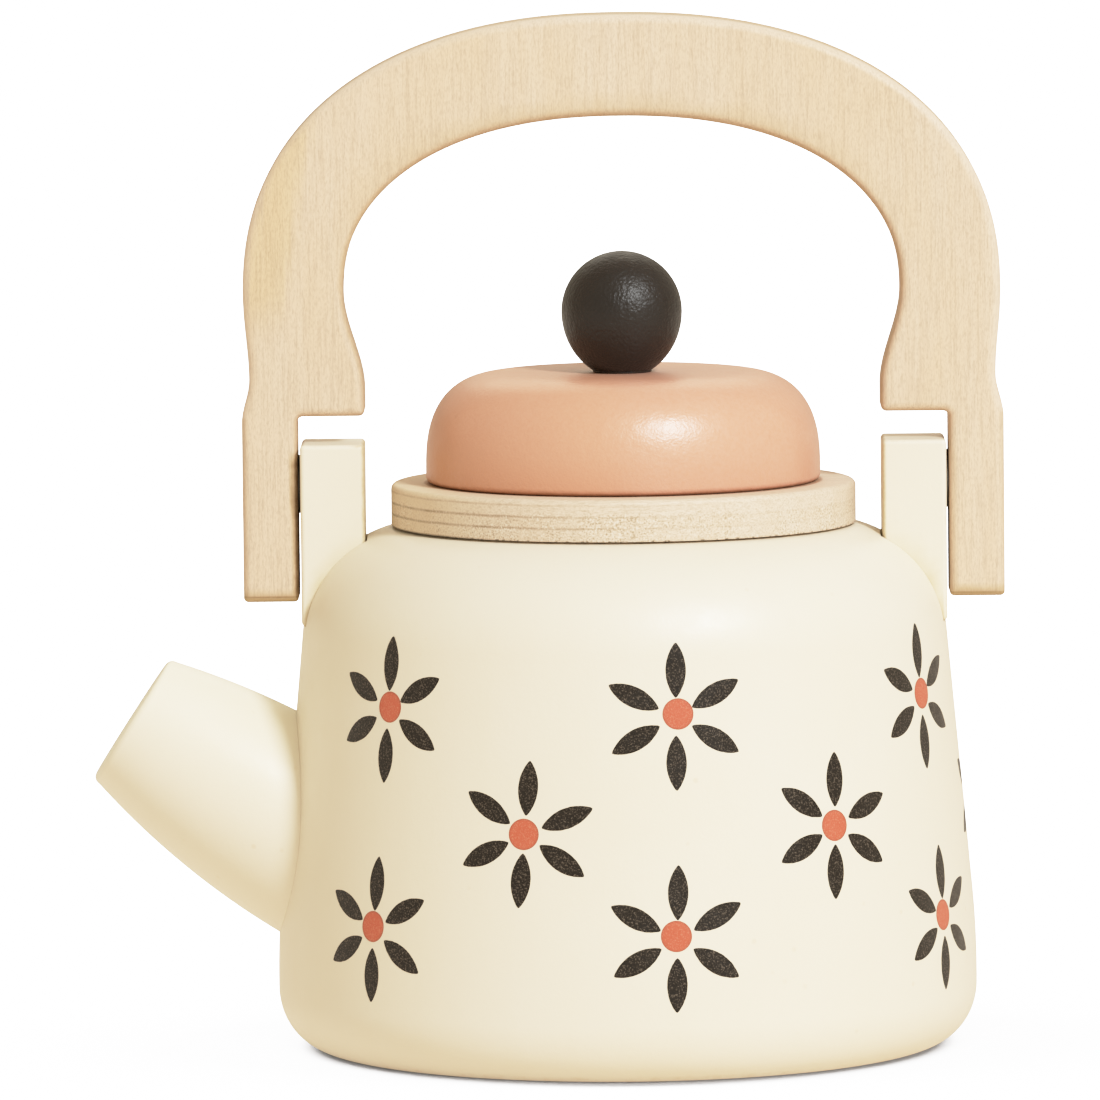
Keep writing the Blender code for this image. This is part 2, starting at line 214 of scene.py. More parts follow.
def body_outside(grow=0.0):
    """The body's outside, from the flat top down to the flat foot."""
    points = list(arc(SHOULDER_CR, SHOULDER_Z, SHOULDER_R + grow, 90.0, math.degrees(LEAN), 44))
    top = points[-1][1]
    steps = 104
    for i in range(1, steps + 1):
        z = top + (FOOT_TALL - top) * i / steps
        points.append((wall_r(z) + grow, z))
    flat = wall_r(FOOT_TALL) - FOOT_ROUND
    round_off = superellipse(FOOT_ROUND + grow, FOOT_TALL + grow, 2.0, 0.0, -90.0, 30)
    points += [(flat + x, FOOT_TALL + z) for x, z in round_off][1:]
    return points


def rounded_box(low, high, r, parts):
    """Points and faces of a block whose edges and corners are rounded, with a line beside each rounding."""
    low, high = Vector(low), Vector(high)

    def stations(a, b):
        out = [a + r - r * math.tan(math.radians(45.0 * (1 - i / parts))) for i in range(parts)]
        out += [a + r, a + r + 0.06]
        count = max(2, int((b - a - 2 * r) / 2.0))
        out += [a + r + (b - a - 2 * r) * i / count for i in range(1, count)]
        out += [b - r - 0.06, b - r]
        out += [b - r + r * math.tan(math.radians(45.0 * (i + 1) / parts)) for i in range(parts)]
        return out

    axes = [stations(low[i], high[i]) for i in range(3)]
    points, faces = [], []
    for fixed in range(3):
        u, v = (fixed + 1) % 3, (fixed + 2) % 3
        for side in (low[fixed], high[fixed]):
            first = len(points)
            for a in axes[u]:
                for b in axes[v]:
                    p = Vector((0.0, 0.0, 0.0))
                    p[fixed], p[u], p[v] = side, a, b
                    inner = Vector(min(max(p[i], low[i] + r), high[i] - r) for i in range(3))
                    points.append(tuple(inner + (p - inner).normalized() * r))
            n = len(axes[v])
            for i in range(len(axes[u]) - 1):
                for j in range(n - 1):
                    k = first + i * n + j
                    faces.append([k, k + n, k + n + 1, k + 1])
    return points, faces


def inside_net(rim, step):
    """Evenly spread points inside a closed outline that keep clear of it."""
    xs, zs = [p.x for p in rim], [p.y for p in rim]
    edges = list(zip(rim, rim[1:] + rim[:1]))
    out, row, z = [], 0, min(zs) + step
    while z < max(zs):
        # where this height crosses the outline, in pairs from outside to inside
        cross = sorted(a.x + (b.x - a.x) * (z - a.y) / (b.y - a.y) for a, b in edges if (a.y > z) != (b.y > z))
        x = -math.ceil(max(xs) / step) * step + (step / 2 if row % 2 else 0.0)
        while x < max(xs):
            p = Vector((x, z))
            if sum(c < x for c in cross) % 2 and min((q - p).length for q in rim) > step * 0.6:
                out.append(p)
            x += step
        row, z = row + 1, z + step * 0.866
    return out


def board(outline, thickness, r, parts):
    """Points and faces of a board in the XZ plane cut to a closed outline, with both faces rounded over.

    An outline point is (x, z), or (x, z, corner) on a tight corner, where the corner is its arc's
    centre, its radius and the way that its mitre runs inward.
    """
    count = len(outline)
    flat = [Vector(p[:2]) for p in outline]
    area = sum(a.x * b.y - b.x * a.y for a, b in zip(flat, flat[1:] + flat[:1]))
    turned = 1.0 if area > 0 else -1.0
    inward = []
    for i in range(count):
        a, b = (flat[i] - flat[i - 1]).normalized(), (flat[(i + 1) % count] - flat[i]).normalized()
        na, nb = Vector((-a.y, a.x)) * turned, Vector((-b.y, b.x)) * turned
        n = (na + nb).normalized()
        inward.append(n / max(n.dot(na), 0.5))

    def moved(i, d):
        if len(outline[i]) == 2:
            return flat[i] + inward[i] * d
        cx, cz, radius, mx, mz = outline[i][2]
        centre = Vector((cx, cz))
        return centre + (flat[i] - centre) * max(1.0 - d / radius, 0.0) + Vector((mx, mz)) * max(d - radius, 0.0)

    half = thickness / 2
    loops = [(r + 0.05, -half)]
    for i in range(parts + 1):
        a = math.radians(90.0 * i / parts)
        loops.append((r - r * math.sin(a), -half + r - r * math.cos(a)))
    side = 8
    loops += [(0.0, -half + r + (thickness - 2 * r) * i / side) for i in range(1, side)]
    loops += [(d, -y) for d, y in reversed(loops[: parts + 2])]
    points, faces = [], []
    for d, y in loops:
        for i in range(count):
            p = moved(i, d)
            points.append((p.x, y, p.y))
    for k in range(len(loops) - 1):
        for i in range(count):
            j = (i + 1) % count
            faces.append([k * count + i, k * count + j, (k + 1) * count + j, (k + 1) * count + i])
    rim = [Vector((points[i][0], points[i][2])) for i in range(count)]
    rim = [p for i, p in enumerate(rim) if (p - rim[i - 1]).length > 1e-3]
    net = rim + inside_net(rim, 2.4)
    ring = [(i, (i + 1) % len(rim)) for i in range(len(rim))]
    spots, _, cells, *_ = geometry.delaunay_2d_cdt(net, ring, [], 1, 1e-5)
    for y in (-half, half):
        first = len(points)
        points += [(p.x, y, p.y) for p in spots]
        faces += [[first + k for k in cell] for cell in cells]
    return points, faces


def rod_profile(r, length, chamfer, crown=0.0):
    """A dowel's profile from its top middle round to its bottom middle."""
    points = [(0.0, length + crown)]
    points += [(r * t, length + crown * (1 - t * t)) for t in (0.35, 0.65)]
    points += list(arc(r - chamfer, length - chamfer, chamfer, 90.0, 0.0, 5))
    points += list(arc(r - chamfer, chamfer, chamfer, 0.0, -90.0, 5))
    points += [(r * 0.5, 0.0), (0.0, 0.0)]
    return points


def turned_ring(r, hole_r, low, high, top_round, low_round, hole_round, parts=6):
    points = [(hole_r + hole_round + (r - top_round - hole_r - hole_round) * i / 6, high) for i in range(6)]
    points += list(arc(r - top_round, high - top_round, top_round, 90.0, 0.0, parts))
    points += list(line((r, high - top_round), (r, low + low_round), 6))
    points += list(arc(r - low_round, low + low_round, low_round, 0.0, -90.0, parts))[1:]
    points += [(hole_r + hole_round, low)]
    points += list(arc(hole_r + hole_round, low + hole_round, hole_round, -90.0, -180.0, 3))[1:]
    points += list(arc(hole_r + hole_round, high - hole_round, hole_round, 180.0, 90.0, 3))[:-1]
    return points


def carve(obj, cutter):
    """Cuts a passing object out of a piece and leaves the result as its mesh."""
    mod = obj.modifiers.new("carve", "BOOLEAN")
    mod.operation, mod.solver, mod.object = "DIFFERENCE", "EXACT", cutter
    bpy.context.view_layer.update()
    mesh = bpy.data.meshes.new_from_object(obj.evaluated_get(bpy.context.evaluated_depsgraph_get()))
    bm = bmesh.new()
    bm.from_mesh(mesh)
    bmesh.ops.dissolve_degenerate(bm, dist=1e-6, edges=bm.edges)
    bm.to_mesh(mesh)
    bm.free()
    obj.modifiers.clear()
    old, obj.data = obj.data, mesh
    mesh.name = obj.name
    bpy.data.meshes.remove(old)
    bpy.data.objects.remove(cutter, do_unlink=True)


def placed(obj, matrix):
    """Moves a piece by its points, so that it keeps its origin with the rest."""
    obj.data.transform(matrix)
    return obj


def drill(obj, start, stop, r):
    """Bores a round hole between two points in millimetres."""
    start, stop = Vector(start), Vector(stop)
    length = (stop - start).length
    bit = mesh_object("bit", *turn([(0.0, length), (r, length), (r, 0.0), (0.0, 0.0)], 48, False))
    way = (stop - start).to_track_quat("Z", "Y").to_matrix().to_4x4()
    placed(bit, Matrix.Translation(start * MM) @ way @ Matrix.Rotation(0.03, 4, "Z"))
    carve(obj, bit)


def spout_out():
    return Vector((-math.cos(math.radians(SPOUT_ANGLE)), 0.0, math.sin(math.radians(SPOUT_ANGLE))))


def along_x(side, x):
    """From a rod built up +Z to one that lies along X, starting at x on the given side."""
    return Matrix.Translation(Vector((side * x, 0.0, PIVOT_Z)) * MM) @ Matrix.Rotation(side * math.pi / 2, 4, "Y")


def wear_and_shade_by(obj, rule, name="wear"):
    """Stores a value from 0 to 1 for each point, for wear, painted shade and other marks, where rule takes its place in
    millimetres.
    """
    layer = obj.data.attributes.new(name, "FLOAT", "POINT")
    for v, item in zip(obj.data.vertices, layer.data):
        item.value = min(max(rule(v.co.x / MM, v.co.y / MM, v.co.z / MM), 0.0), 1.0)


def piece(obj, mat, body, stands_for=(), angle=38.0):
    mesh = obj.data
    mesh.materials.clear()
    mesh.materials.append(mat)
    mesh.polygons.foreach_set("use_smooth", [True] * len(mesh.polygons))
    mesh.set_sharp_from_angle(angle=math.radians(angle))
    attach(obj, body)
    if stands_for:
        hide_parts(*stands_for)
    return obj


def near(distance, reach):
    return max(0.0, 1.0 - abs(distance) / reach)


# --------------------------------------------------------------------------
# finishes
# --------------------------------------------------------------------------

class Finish:
    """A Principled material whose colour, roughness and bump are worked out by nodes."""

    def __init__(self, name, **values):
        self.mat = bpy.data.materials.new(name)
        self.mat.use_nodes = True
        self.tree = self.mat.node_tree
        self.bsdf = self.tree.nodes["Principled BSDF"]
        for key, value in values.items():
            self.bsdf.inputs[key.replace("_", " ")].default_value = value
        self.at = self.node("ShaderNodeTexCoord").outputs["Object"]

    def node(self, kind, **settings):
        made = self.tree.nodes.new(kind)
        for key, value in settings.items():
            setattr(made, key, value)
        return made

    def feed(self, socket, value):
        if isinstance(value, bpy.types.NodeSocket):
            self.tree.links.new(value, socket)
        else:
            socket.default_value = value

    def stretch(self, x, y, z, at=None, shift=(0.0, 0.0, 0.0)):
        made = self.node("ShaderNodeMapping")
        self.feed(made.inputs["Vector"], at or self.at)
        made.inputs["Scale"].default_value = (x, y, z)
        made.inputs["Location"].default_value = shift
        return made.outputs[0]

    def noise(self, scale=1.0, detail=2.0, rough=0.5, bend=0.0, at=None):
        made = self.node("ShaderNodeTexNoise")
        self.feed(made.inputs["Vector"], at or self.at)
        made.inputs["Scale"].default_value = scale
        made.inputs["Detail"].default_value = detail
        made.inputs["Roughness"].default_value = rough
        made.inputs["Distortion"].default_value = bend
        return made.outputs[0]

    def spots(self, scale, at=None):
        """Distance to the nearest of scattered points."""
        made = self.node("ShaderNodeTexVoronoi")
        self.feed(made.inputs["Vector"], at or self.at)
        made.inputs["Scale"].default_value = scale
        return made.outputs["Distance"]

    def level(self, value, low, high, to_low=0.0, to_high=1.0, smooth=False):
        made = self.node("ShaderNodeMapRange", interpolation_type="SMOOTHSTEP" if smooth else "LINEAR", clamp=True)
        self.feed(made.inputs["Value"], value)
        for name, v in zip(("From Min", "From Max", "To Min", "To Max"), (low, high, to_low, to_high)):
            made.inputs[name].default_value = v
        return made.outputs[0]

    def sum(self, kind, a, b=0.0, c=0.0):
        made = self.node("ShaderNodeMath", operation=kind)
        for socket, value in zip(made.inputs, (a, b, c)):
            self.feed(socket, value)
        return made.outputs[0]

    def parts(self, at=None):
        made = self.node("ShaderNodeSeparateXYZ")
        self.feed(made.inputs[0], at or self.at)
        return made.outputs

    def mix(self, amount, a, b, kind="MIX"):
        made = self.node("ShaderNodeMix", data_type="RGBA", blend_type=kind)
        self.feed(made.inputs[0], amount)
        self.feed(made.inputs[6], a)
        self.feed(made.inputs[7], b)
        return made.outputs[2]

    # reads a mark stored per point: wear by default, and also painted shade and the handle's edge marks
    def wear(self, name="wear"):
        return self.node("ShaderNodeAttribute", attribute_name=name).outputs["Fac"]

    def done(self, colour, roughness, height=None, depth=0.03, strength=1.0):
        """depth is how deep the bump is, in millimetres."""
        self.feed(self.bsdf.inputs["Base Color"], colour)
        self.feed(self.bsdf.inputs["Roughness"], roughness)
        if height is not None:
            bump = self.node("ShaderNodeBump")
            bump.inputs["Strength"].default_value = strength
            bump.inputs["Distance"].default_value = depth * MM
            self.feed(bump.inputs["Height"], height)
            self.feed(self.bsdf.inputs["Normal"], bump.outputs[0])
        return self.mat


def paint(name, colour, deep, bare, painted_shade, gloss=(0.36, 0.46), peel=0.03, grain=(240.0, 240.0, 16.0), blotch=0.5, nap=(1750.0, 0.55), low=None, shine_level=0.5, mottle=0.0, drift=None):
    """Sprayed satin paint over wood: soft mottling, grain and orange peel showing, edges rubbed towards the wood,
    and painted shade where a mark on the mesh asks for it; drift paints shade low on the left and light on the right."""
    f = Finish(name, Specular_IOR_Level=shine_level)
    cloud = f.noise(34.0, 3.0, 0.55)
    tone = f.mix(f.level(cloud, 0.3, 0.72, 0.0, blotch), colour, deep)
    if low:
        tone = f.mix(f.level(f.parts()[2], low[0] * MM, low[1] * MM, 0.8, 0.0, True), tone, low[2])
    if drift:
        # painted shade low down on the left of the lid's side and painted light on its right
        x, y, z = f.parts()
        near = f.sum("MULTIPLY", f.level(x, -0.031, -0.006, 0.36, 0.0), f.level(z, (SEAT_Z + 5.0) * MM, (SEAT_Z + 12.0) * MM, 1.0, 0.0))
        tone = f.mix(near, tone, drift[0])
        tone = f.mix(f.level(x, -0.006, 0.006, 0.0, 0.35, True), tone, drift[1])
    streak = f.noise(1.0, 3.0, 0.6, 0.4, f.stretch(*grain))
    tone = f.mix(f.level(streak, 0.45, 0.75, 0.0, 0.16), tone, deep)
    if mottle:
        tone = f.mix(f.level(f.noise(1500.0, 2.0, 0.6), 0.34, 0.68, 0.0, mottle), tone, deep)
    dust = f.level(f.spots(190.0), 0.05, 0.11, 0.22, 0.0)
    tone = f.mix(f.sum("MULTIPLY", dust, f.level(f.noise(26.0, 1.0), 0.5, 0.62)), tone, bare)
    rub = f.level(f.noise(420.0, 4.0, 0.62), 0.36, 0.66)
    rub = f.sum("MULTIPLY", f.wear(), rub)
    tone = f.mix(f.level(rub, 0.12, 0.8, 0.0, 0.75), tone, bare)
    # painted shade: the paint darkens towards the shade colour where the painted_shade mark is set
    tone = f.mix(f.sum("MULTIPLY", f.wear("painted_shade"), f.level(f.noise(700.0, 3.0, 0.6), 0.2, 0.6, 0.75, 1.0)), tone, painted_shade)
    fine = f.noise(nap[0], 2.0, 0.5)
    wide = f.noise(520.0, 2.0, 0.5)
    height = f.sum("ADD", f.sum("MULTIPLY", fine, nap[1]), f.sum("MULTIPLY", wide, 0.9))
    height = f.sum("ADD", height, f.sum("MULTIPLY", streak, 0.9))
    shine = f.level(f.noise(240.0, 3.0, 0.6), 0.3, 0.7, *gloss)
    shine = f.sum("ADD", shine, f.sum("MULTIPLY", rub, 0.2))
    return f.done(tone, shine, height, peel)


def plywood_face(f, grain, pale, honey, warm, dark):
    """Colour and relief of a veneer whose grain runs along one axis."""
    def lie(across, along, shift=0.0):
        scale = [across] * 3
        scale[grain] = along
        return f.stretch(*scale, shift=(shift, shift * 1.7, shift * 0.6))

    bands = f.noise(1.0, 3.0, 0.55, 0.5, lie(380.0, 14.0))
    fibre = f.noise(1.0, 2.0, 0.55, 0.15, lie(3000.0, 105.0, 3.1))
    hair = f.noise(1.0, 2.0, 0.6, 0.0, lie(4600.0, 1300.0, 17.3))
    patch = f.noise(1.0, 2.0, 0.5, 0.3, lie(60.0, 24.0, 7.7))
    fleck = f.noise(1.0, 1.0, 0.4, 0.0, lie(3000.0, 420.0, 11.3))
    tone = f.mix(f.level(bands, 0.34, 0.72, 0.1, 0.85), pale, honey)
    tone = f.mix(f.level(patch, 0.44, 0.70, 0.0, 0.6), tone, warm)
    tone = f.mix(f.level(fibre, 0.46, 0.68, 0.0, 0.40), tone, dark)
    tone = f.mix(f.level(hair, 0.47, 0.65, 0.0, 0.40), tone, dark)
    tone = f.mix(f.level(hair, 0.44, 0.30, 0.0, 0.4), tone, pale)
    pore = f.level(fleck, 0.62, 0.71, 0.0, 0.4)
    tone = f.mix(pore, tone, dark)
    height = f.sum("SUBTRACT", f.sum("ADD", fibre, f.sum("MULTIPLY", hair, 0.5)), f.sum("MULTIPLY", pore, 0.5))
    return tone, height, fibre, bands


def plies(f, across, low, high, lines, parity, tone, dark, glue, fade):
    """Adds the layers that show on a sawn edge. lines says where each glue line lies, from 0 at low to 1 at high,
    its width and its strength; parity does so for the layers that show end grain."""
    height = f.level(across, low, high)
    grit = f.noise(2900.0, 2.0, 0.55)
    smear = f.noise(1.0, 3.0, 0.6, 0.0, f.stretch(170.0, 170.0, 170.0, shift=(5.0, 2.0, 9.0)))
    waver = f.sum("ADD", height, f.level(f.noise(110.0, 2.0, 0.5), 0.2, 0.8, -0.012, 0.012))
    for start, stop, amount in parity:
        inside = f.sum(
            "MULTIPLY",
            f.level(waver, start - 0.02, start + 0.02),
            f.level(waver, stop - 0.02, stop + 0.02, 1.0, 0.0),
        )
        end_grain = f.level(grit, 0.35, 0.72, 0.3, 1.0)
        tone = f.mix(f.sum("MULTIPLY", f.sum("MULTIPLY", inside, end_grain), amount), tone, dark)
    for where, width, amount in lines:
        off = f.sum("ABSOLUTE", f.sum("SUBTRACT", waver, where))
        on = f.level(off, 0.0, width, 1.0, 0.0, True)
        broken = f.sum("MULTIPLY", f.level(smear, 0.34, 0.62, 0.35, 1.0), fade)
        tone = f.mix(f.sum("MULTIPLY", f.sum("MULTIPLY", on, broken), amount), tone, glue)
    return tone, grit


BIRCH = ((0.762, 0.595, 0.466, 1.0), (0.713, 0.538, 0.403, 1.0), (0.722, 0.528, 0.370, 1.0), (0.440, 0.350, 0.268, 1.0))


def finish_handle():
    f = Finish("handle_plywood_finish")
    tone, height, fibre, bands = plywood_face(f, 2, *BIRCH)
    x, y, z = f.parts()
    # a yellower streak of heartwood up one side
    drift = f.sum("MULTIPLY_ADD", z, -0.18, 0.0572 + 0.18 * 0.137)
    streak = f.sum("ABSOLUTE", f.sum("ADD", f.sum("ADD", x, drift), f.level(bands, 0.2, 0.8, -0.003, 0.003)))
    streak = f.sum("MULTIPLY", f.level(streak, 0.001, 0.0048, 0.75, 0.0, True), f.level(f.sum("ABSOLUTE", f.sum("SUBTRACT", z, 0.139)), 0.012, 0.022, 1.0, 0.0, True))
    tone = f.mix(f.sum("MULTIPLY", streak, f.level(y, -0.0055, -0.0042, 1.0, 0.0)), tone, (0.930, 0.880, 0.735, 1.0), "MULTIPLY")
    half = HANDLE_T / 2 * MM
    edge = f.wear("edge")
    layers = [(i / 7, 0.016, 0.7) for i in range(1, 7)]
    crossed = [(1 / 7, 2 / 7, 0.5), (3 / 7, 4 / 7, 0.5), (5 / 7, 6 / 7, 0.5)]
    sawn, grit = plies(f, y, -half, half, layers, crossed, tone, (0.43, 0.27, 0.15, 1.0), (0.17, 0.095, 0.05, 1.0), 1.0)
    tone = f.mix(edge, tone, sawn)
    fuzz = f.level(f.noise(420.0, 3.0, 0.6), 0.25, 0.75, 0.55, 1.0)
    tone = f.mix(f.level(f.sum("MULTIPLY", f.wear(), fuzz), 0.0, 1.0, 0.0, 0.55), tone, (0.790, 0.665, 0.565, 1.0))
    # a scorched brown on the sawn faces, and painted shade along the legs' inner edges, the legs' outer rounding and
    # the arch's underside
    scorch_and_shade = f.sum("MULTIPLY", f.wear("burn_and_shade"), fuzz)
    tone = f.mix(f.level(scorch_and_shade, 0.0, 0.5, 0.0, 0.62), tone, (0.400, 0.273, 0.120, 1.0))
    tone = f.mix(f.level(scorch_and_shade, 0.4, 0.95, 0.0, 0.85), tone, (0.132, 0.070, 0.024, 1.0))
    # painted shade along the foot of each leg: a dark line with a tan smear above it, and darker bands at the very foot
    low = f.sum("SUBTRACT", z, LEG_LOW_Z * MM)
    line = f.level(f.sum("ABSOLUTE", f.sum("SUBTRACT", low, f.level(x, -0.01, 0.01, 0.00092, 0.00070))), 0.0, 0.00030, 0.8, 0.0, True)
    smear = f.sum("MULTIPLY", f.level(low, 0.0009, 0.0026, 0.85, 0.0, True), f.level(f.noise(260.0, 2.0, 0.5), 0.3, 0.7, 0.4, 1.0))
    tone = f.mix(smear, tone, (0.470, 0.335, 0.185, 1.0))
    tone = f.mix(f.level(low, 0.0006, 0.0009, 0.55, 0.0), tone, (0.460, 0.330, 0.165, 1.0))
    tone = f.mix(f.sum("MULTIPLY", f.sum("MULTIPLY", line, fuzz), f.level(x, -0.01, 0.01, 1.0, 0.7)), tone, (0.265, 0.165, 0.075, 1.0))
    tone = f.mix(f.level(low, 0.0, 0.00035, 0.65, 0.0), tone, (0.200, 0.150, 0.090, 1.0))
    shine = f.level(fibre, 0.3, 0.75, 0.48, 0.62)
    return f.done(tone, shine, height, 0.03)


def finish_collar():
    f = Finish("collar_plywood_finish")
    tone, height, fibre, bands = plywood_face(f, 0, (0.800, 0.675, 0.570, 1.0), (0.752, 0.603, 0.482, 1.0), (0.762, 0.598, 0.482, 1.0), (0.470, 0.385, 0.295, 1.0))
    x, y, z = f.parts()
    low, high = COLLAR_LOW * MM, COLLAR_TOP * MM
    # the glue lines were sanded over, so they show on one side and fade round the ring
    fade = f.level(f.sum("ADD", x, f.level(f.noise(42.0, 1.0), 0.2, 0.8, -0.012, 0.012)), -0.037, 0.020, 1.0, 0.18, True)
    # painted shade: a deeper, yellower tone on the left side
    tone = f.mix(f.level(x, -0.036, -0.018, 0.6, 0.0, True), tone, (0.775, 0.635, 0.430, 1.0))
    lines = [(0.86, 0.040, 0.55), (0.585, 0.052, 0.9), (0.31, 0.052, 0.9)]
    crossed = [(0.31, 0.585, 0.26), (-0.1, 0.31, 0.14), (0.585, 0.86, 0.08)]
    tone, grit = plies(f, z, low, high, lines, crossed, tone, (0.540, 0.400, 0.265, 1.0), (0.290, 0.208, 0.124, 1.0), fade)
    side = f.level(f.sum("ABSOLUTE", f.parts(f.node("ShaderNodeNewGeometry").outputs["Normal"])[2]), 0.3, 0.6, 1.0, 0.0)
    rise = f.level(z, low, high)
    where = f.sum("MULTIPLY", side, f.level(rise, 0.55, 0.75, 1.0, 0.25))
    where = f.sum("MULTIPLY", where, f.level(f.noise(95.0, 2.0, 0.5), 0.38, 0.6, 0.3, 1.0))
    speck = f.noise(3400.0, 1.0, 0.4)
    tone = f.mix(f.sum("MULTIPLY", f.level(speck, 0.57, 0.69, 0.0, 0.75), where), tone, (0.325, 0.250, 0.165, 1.0))
    tone = f.mix(f.sum("MULTIPLY", f.level(speck, 0.43, 0.31, 0.0, 0.75), where), tone, (0.850, 0.770, 0.670, 1.0))
    rub = f.sum("MULTIPLY", f.wear(), f.level(f.noise(360.0, 3.0, 0.6), 0.25, 0.75, 0.4, 1.0))
    tone = f.mix(f.level(rub, 0.0, 1.0, 0.0, 0.35), tone, (0.620, 0.470, 0.330, 1.0))
    # painted shade: a brown ring on the top, just under the lid's foot
    r = f.sum("SQRT", f.sum("ADD", f.sum("MULTIPLY", x, x), f.sum("MULTIPLY", y, y)))
    ring = f.level(f.sum("ABSOLUTE", f.sum("SUBTRACT", r, (LID_R - 0.7) * MM)), 0.0007, 0.0013, 0.75, 0.0, True)
    ring = f.sum("MULTIPLY", ring, f.level(rise, 0.96, 0.99))
    tone = f.mix(f.sum("MULTIPLY", ring, f.level(f.noise(500.0, 3.0, 0.6), 0.25, 0.7, 0.6, 1.0)), tone, (0.340, 0.135, 0.030, 1.0))
    # painted shade in the joint below: dark dots, solid on the left side
    dots = f.level(f.noise(1300.0, 1.0, 0.4), 0.53, 0.62, 0.0, 0.85)
    dots = f.sum("MAXIMUM", dots, f.level(x, -0.034, -0.016, 0.8, 0.0, True))
    tone = f.mix(f.sum("MULTIPLY", f.level(rise, 0.012, 0.044, 1.0, 0.0), dots), tone, (0.110, 0.078, 0.040, 1.0))
    height = f.sum("ADD", height, f.sum("MULTIPLY", f.sum("MULTIPLY", speck, where), 1.6))
    shine = f.level(fibre, 0.3, 0.75, 0.52, 0.66)
    return f.done(tone, shine, height, 0.035)


def finish_plain_wood(name, grain, pale, honey, warm, dark, rings=None):
    f = Finish(name)
    tone, height, fibre, bands = plywood_face(f, grain, pale, honey, warm, dark)
    rub = f.sum("MULTIPLY", f.wear(), f.level(f.noise(300.0, 3.0, 0.6), 0.25, 0.75, 0.4, 1.0))
    tone = f.mix(f.level(rub, 0.0, 1.0, 0.0, 0.45), tone, warm)
    if rings:
        axis = f.parts()
        across = [axis[i] for i in range(3) if i != grain]
        r = f.sum("SQRT", f.sum("ADD", f.sum("POWER", across[0], 2.0), f.sum("POWER", f.sum("SUBTRACT", across[1], rings), 2.0)))
        wave = f.sum("SINE", f.sum("MULTIPLY", f.sum("ADD", r, f.sum("MULTIPLY", f.noise(300.0), 0.0006)), 8500.0))
        tone = f.mix(f.level(wave, 0.2, 1.0, 0.0, 0.3), tone, warm)
    return f.done(tone, f.level(fibre, 0.3, 0.75, 0.5, 0.65), height, 0.035)


def finish_knob():
    f = Finish("knob_paint_finish", Specular_IOR_Level=0.40)
    cloud = f.noise(120.0, 3.0, 0.6)
    tone = f.mix(f.level(cloud, 0.3, 0.7), (0.0135, 0.0108, 0.0096, 1.0), (0.0185, 0.0148, 0.0128, 1.0))
    dust = f.level(f.spots(640.0), 0.06, 0.16, 0.35, 0.0)
    tone = f.mix(f.sum("MULTIPLY", dust, f.level(f.noise(90.0), 0.5, 0.6)), tone, (0.06, 0.05, 0.042, 1.0))
    rub = f.sum("MULTIPLY", f.wear(), f.level(f.noise(420.0, 4.0, 0.62), 0.4, 0.66))
    tone = f.mix(f.level(rub, 0.1, 0.8, 0.0, 0.5), tone, (0.16, 0.10, 0.06, 1.0))
    fine, wide = f.noise(2000.0, 2.0, 0.5), f.noise(620.0, 2.0, 0.55)
    height = f.sum("ADD", f.sum("MULTIPLY", fine, 1.5), wide)
    return f.done(tone, f.level(f.noise(400.0, 3.0), 0.3, 0.7, 0.36, 0.46), height, 0.105)


def finish_ink(name, colour, deep, paper, shade, specks):
    """Screen-printed ink: nearly solid and finely grained, with pinholes that let the paint below show."""
    f = Finish(name, Specular_IOR_Level=0.38)
    tone = f.mix(f.level(f.noise(160.0, 3.0, 0.6), 0.3, 0.7), colour, deep)
    pin = f.level(f.noise(3300.0, 1.0, 0.4), 0.66, 0.78, 0.0, 1.0)
    where = f.level(f.noise(75.0, 2.0, 0.5), 0.44, 0.64, 0.12, 1.0)
    tone = f.mix(f.sum("MULTIPLY", f.sum("MULTIPLY", pin, where), specks), tone, paper)
    grain = f.noise(3900.0, 2.0, 0.6)
    tone = f.mix(f.level(grain, 0.54, 0.65, 0.0, specks * 0.8), tone, paper)
    tone = f.mix(f.level(grain, 0.47, 0.34, 0.0, specks * 0.8), tone, shade)
    tone = f.mix(f.level(f.wear("rim"), 0.0, 1.0, 0.0, 0.55), tone, (0.200, 0.085, 0.058, 1.0))
    height = f.sum("SUBTRACT", grain, f.sum("MULTIPLY", pin, 0.5))
    return f.done(tone, f.level(f.noise(300.0), 0.3, 0.7, 0.34, 0.46), height, 0.03)


def finish_washer():
    f = Finish("washer_fibre_finish")
    lint = f.noise(1.0, 3.0, 0.6, 0.5, f.stretch(2600.0, 900.0, 900.0))
    tone = f.mix(f.level(lint, 0.3, 0.75), (0.018, 0.016, 0.015, 1.0), (0.05, 0.043, 0.036, 1.0))
    rub = f.wear()
    tone = f.mix(f.level(rub, 0.2, 1.0, 0.0, 0.5), tone, (0.09, 0.075, 0.06, 1.0))
    return f.done(tone, f.level(lint, 0.3, 0.75, 0.55, 0.75), lint, 0.04)


CREAM, CREAM_DEEP = (0.855, 0.790, 0.665, 1.0), (0.838, 0.760, 0.615, 1.0)
# the second colour on the next line is the cream's painted shade colour for creases
UNDER_PAINT, CREAM_CREASE_SHADE = (0.60, 0.44, 0.26, 1.0), (0.560, 0.440, 0.230, 1.0)
cream_body = paint("body_cream_finish", CREAM, CREAM_DEEP, UNDER_PAINT, CREAM_CREASE_SHADE)
cream_spout = paint("spout_cream_finish", CREAM, CREAM_DEEP, UNDER_PAINT, CREAM_CREASE_SHADE, grain=(160.0, 240.0, 160.0))
cream_ear = paint("ear_cream_finish", CREAM, CREAM_DEEP, UNDER_PAINT, CREAM_CREASE_SHADE, peel=0.025)
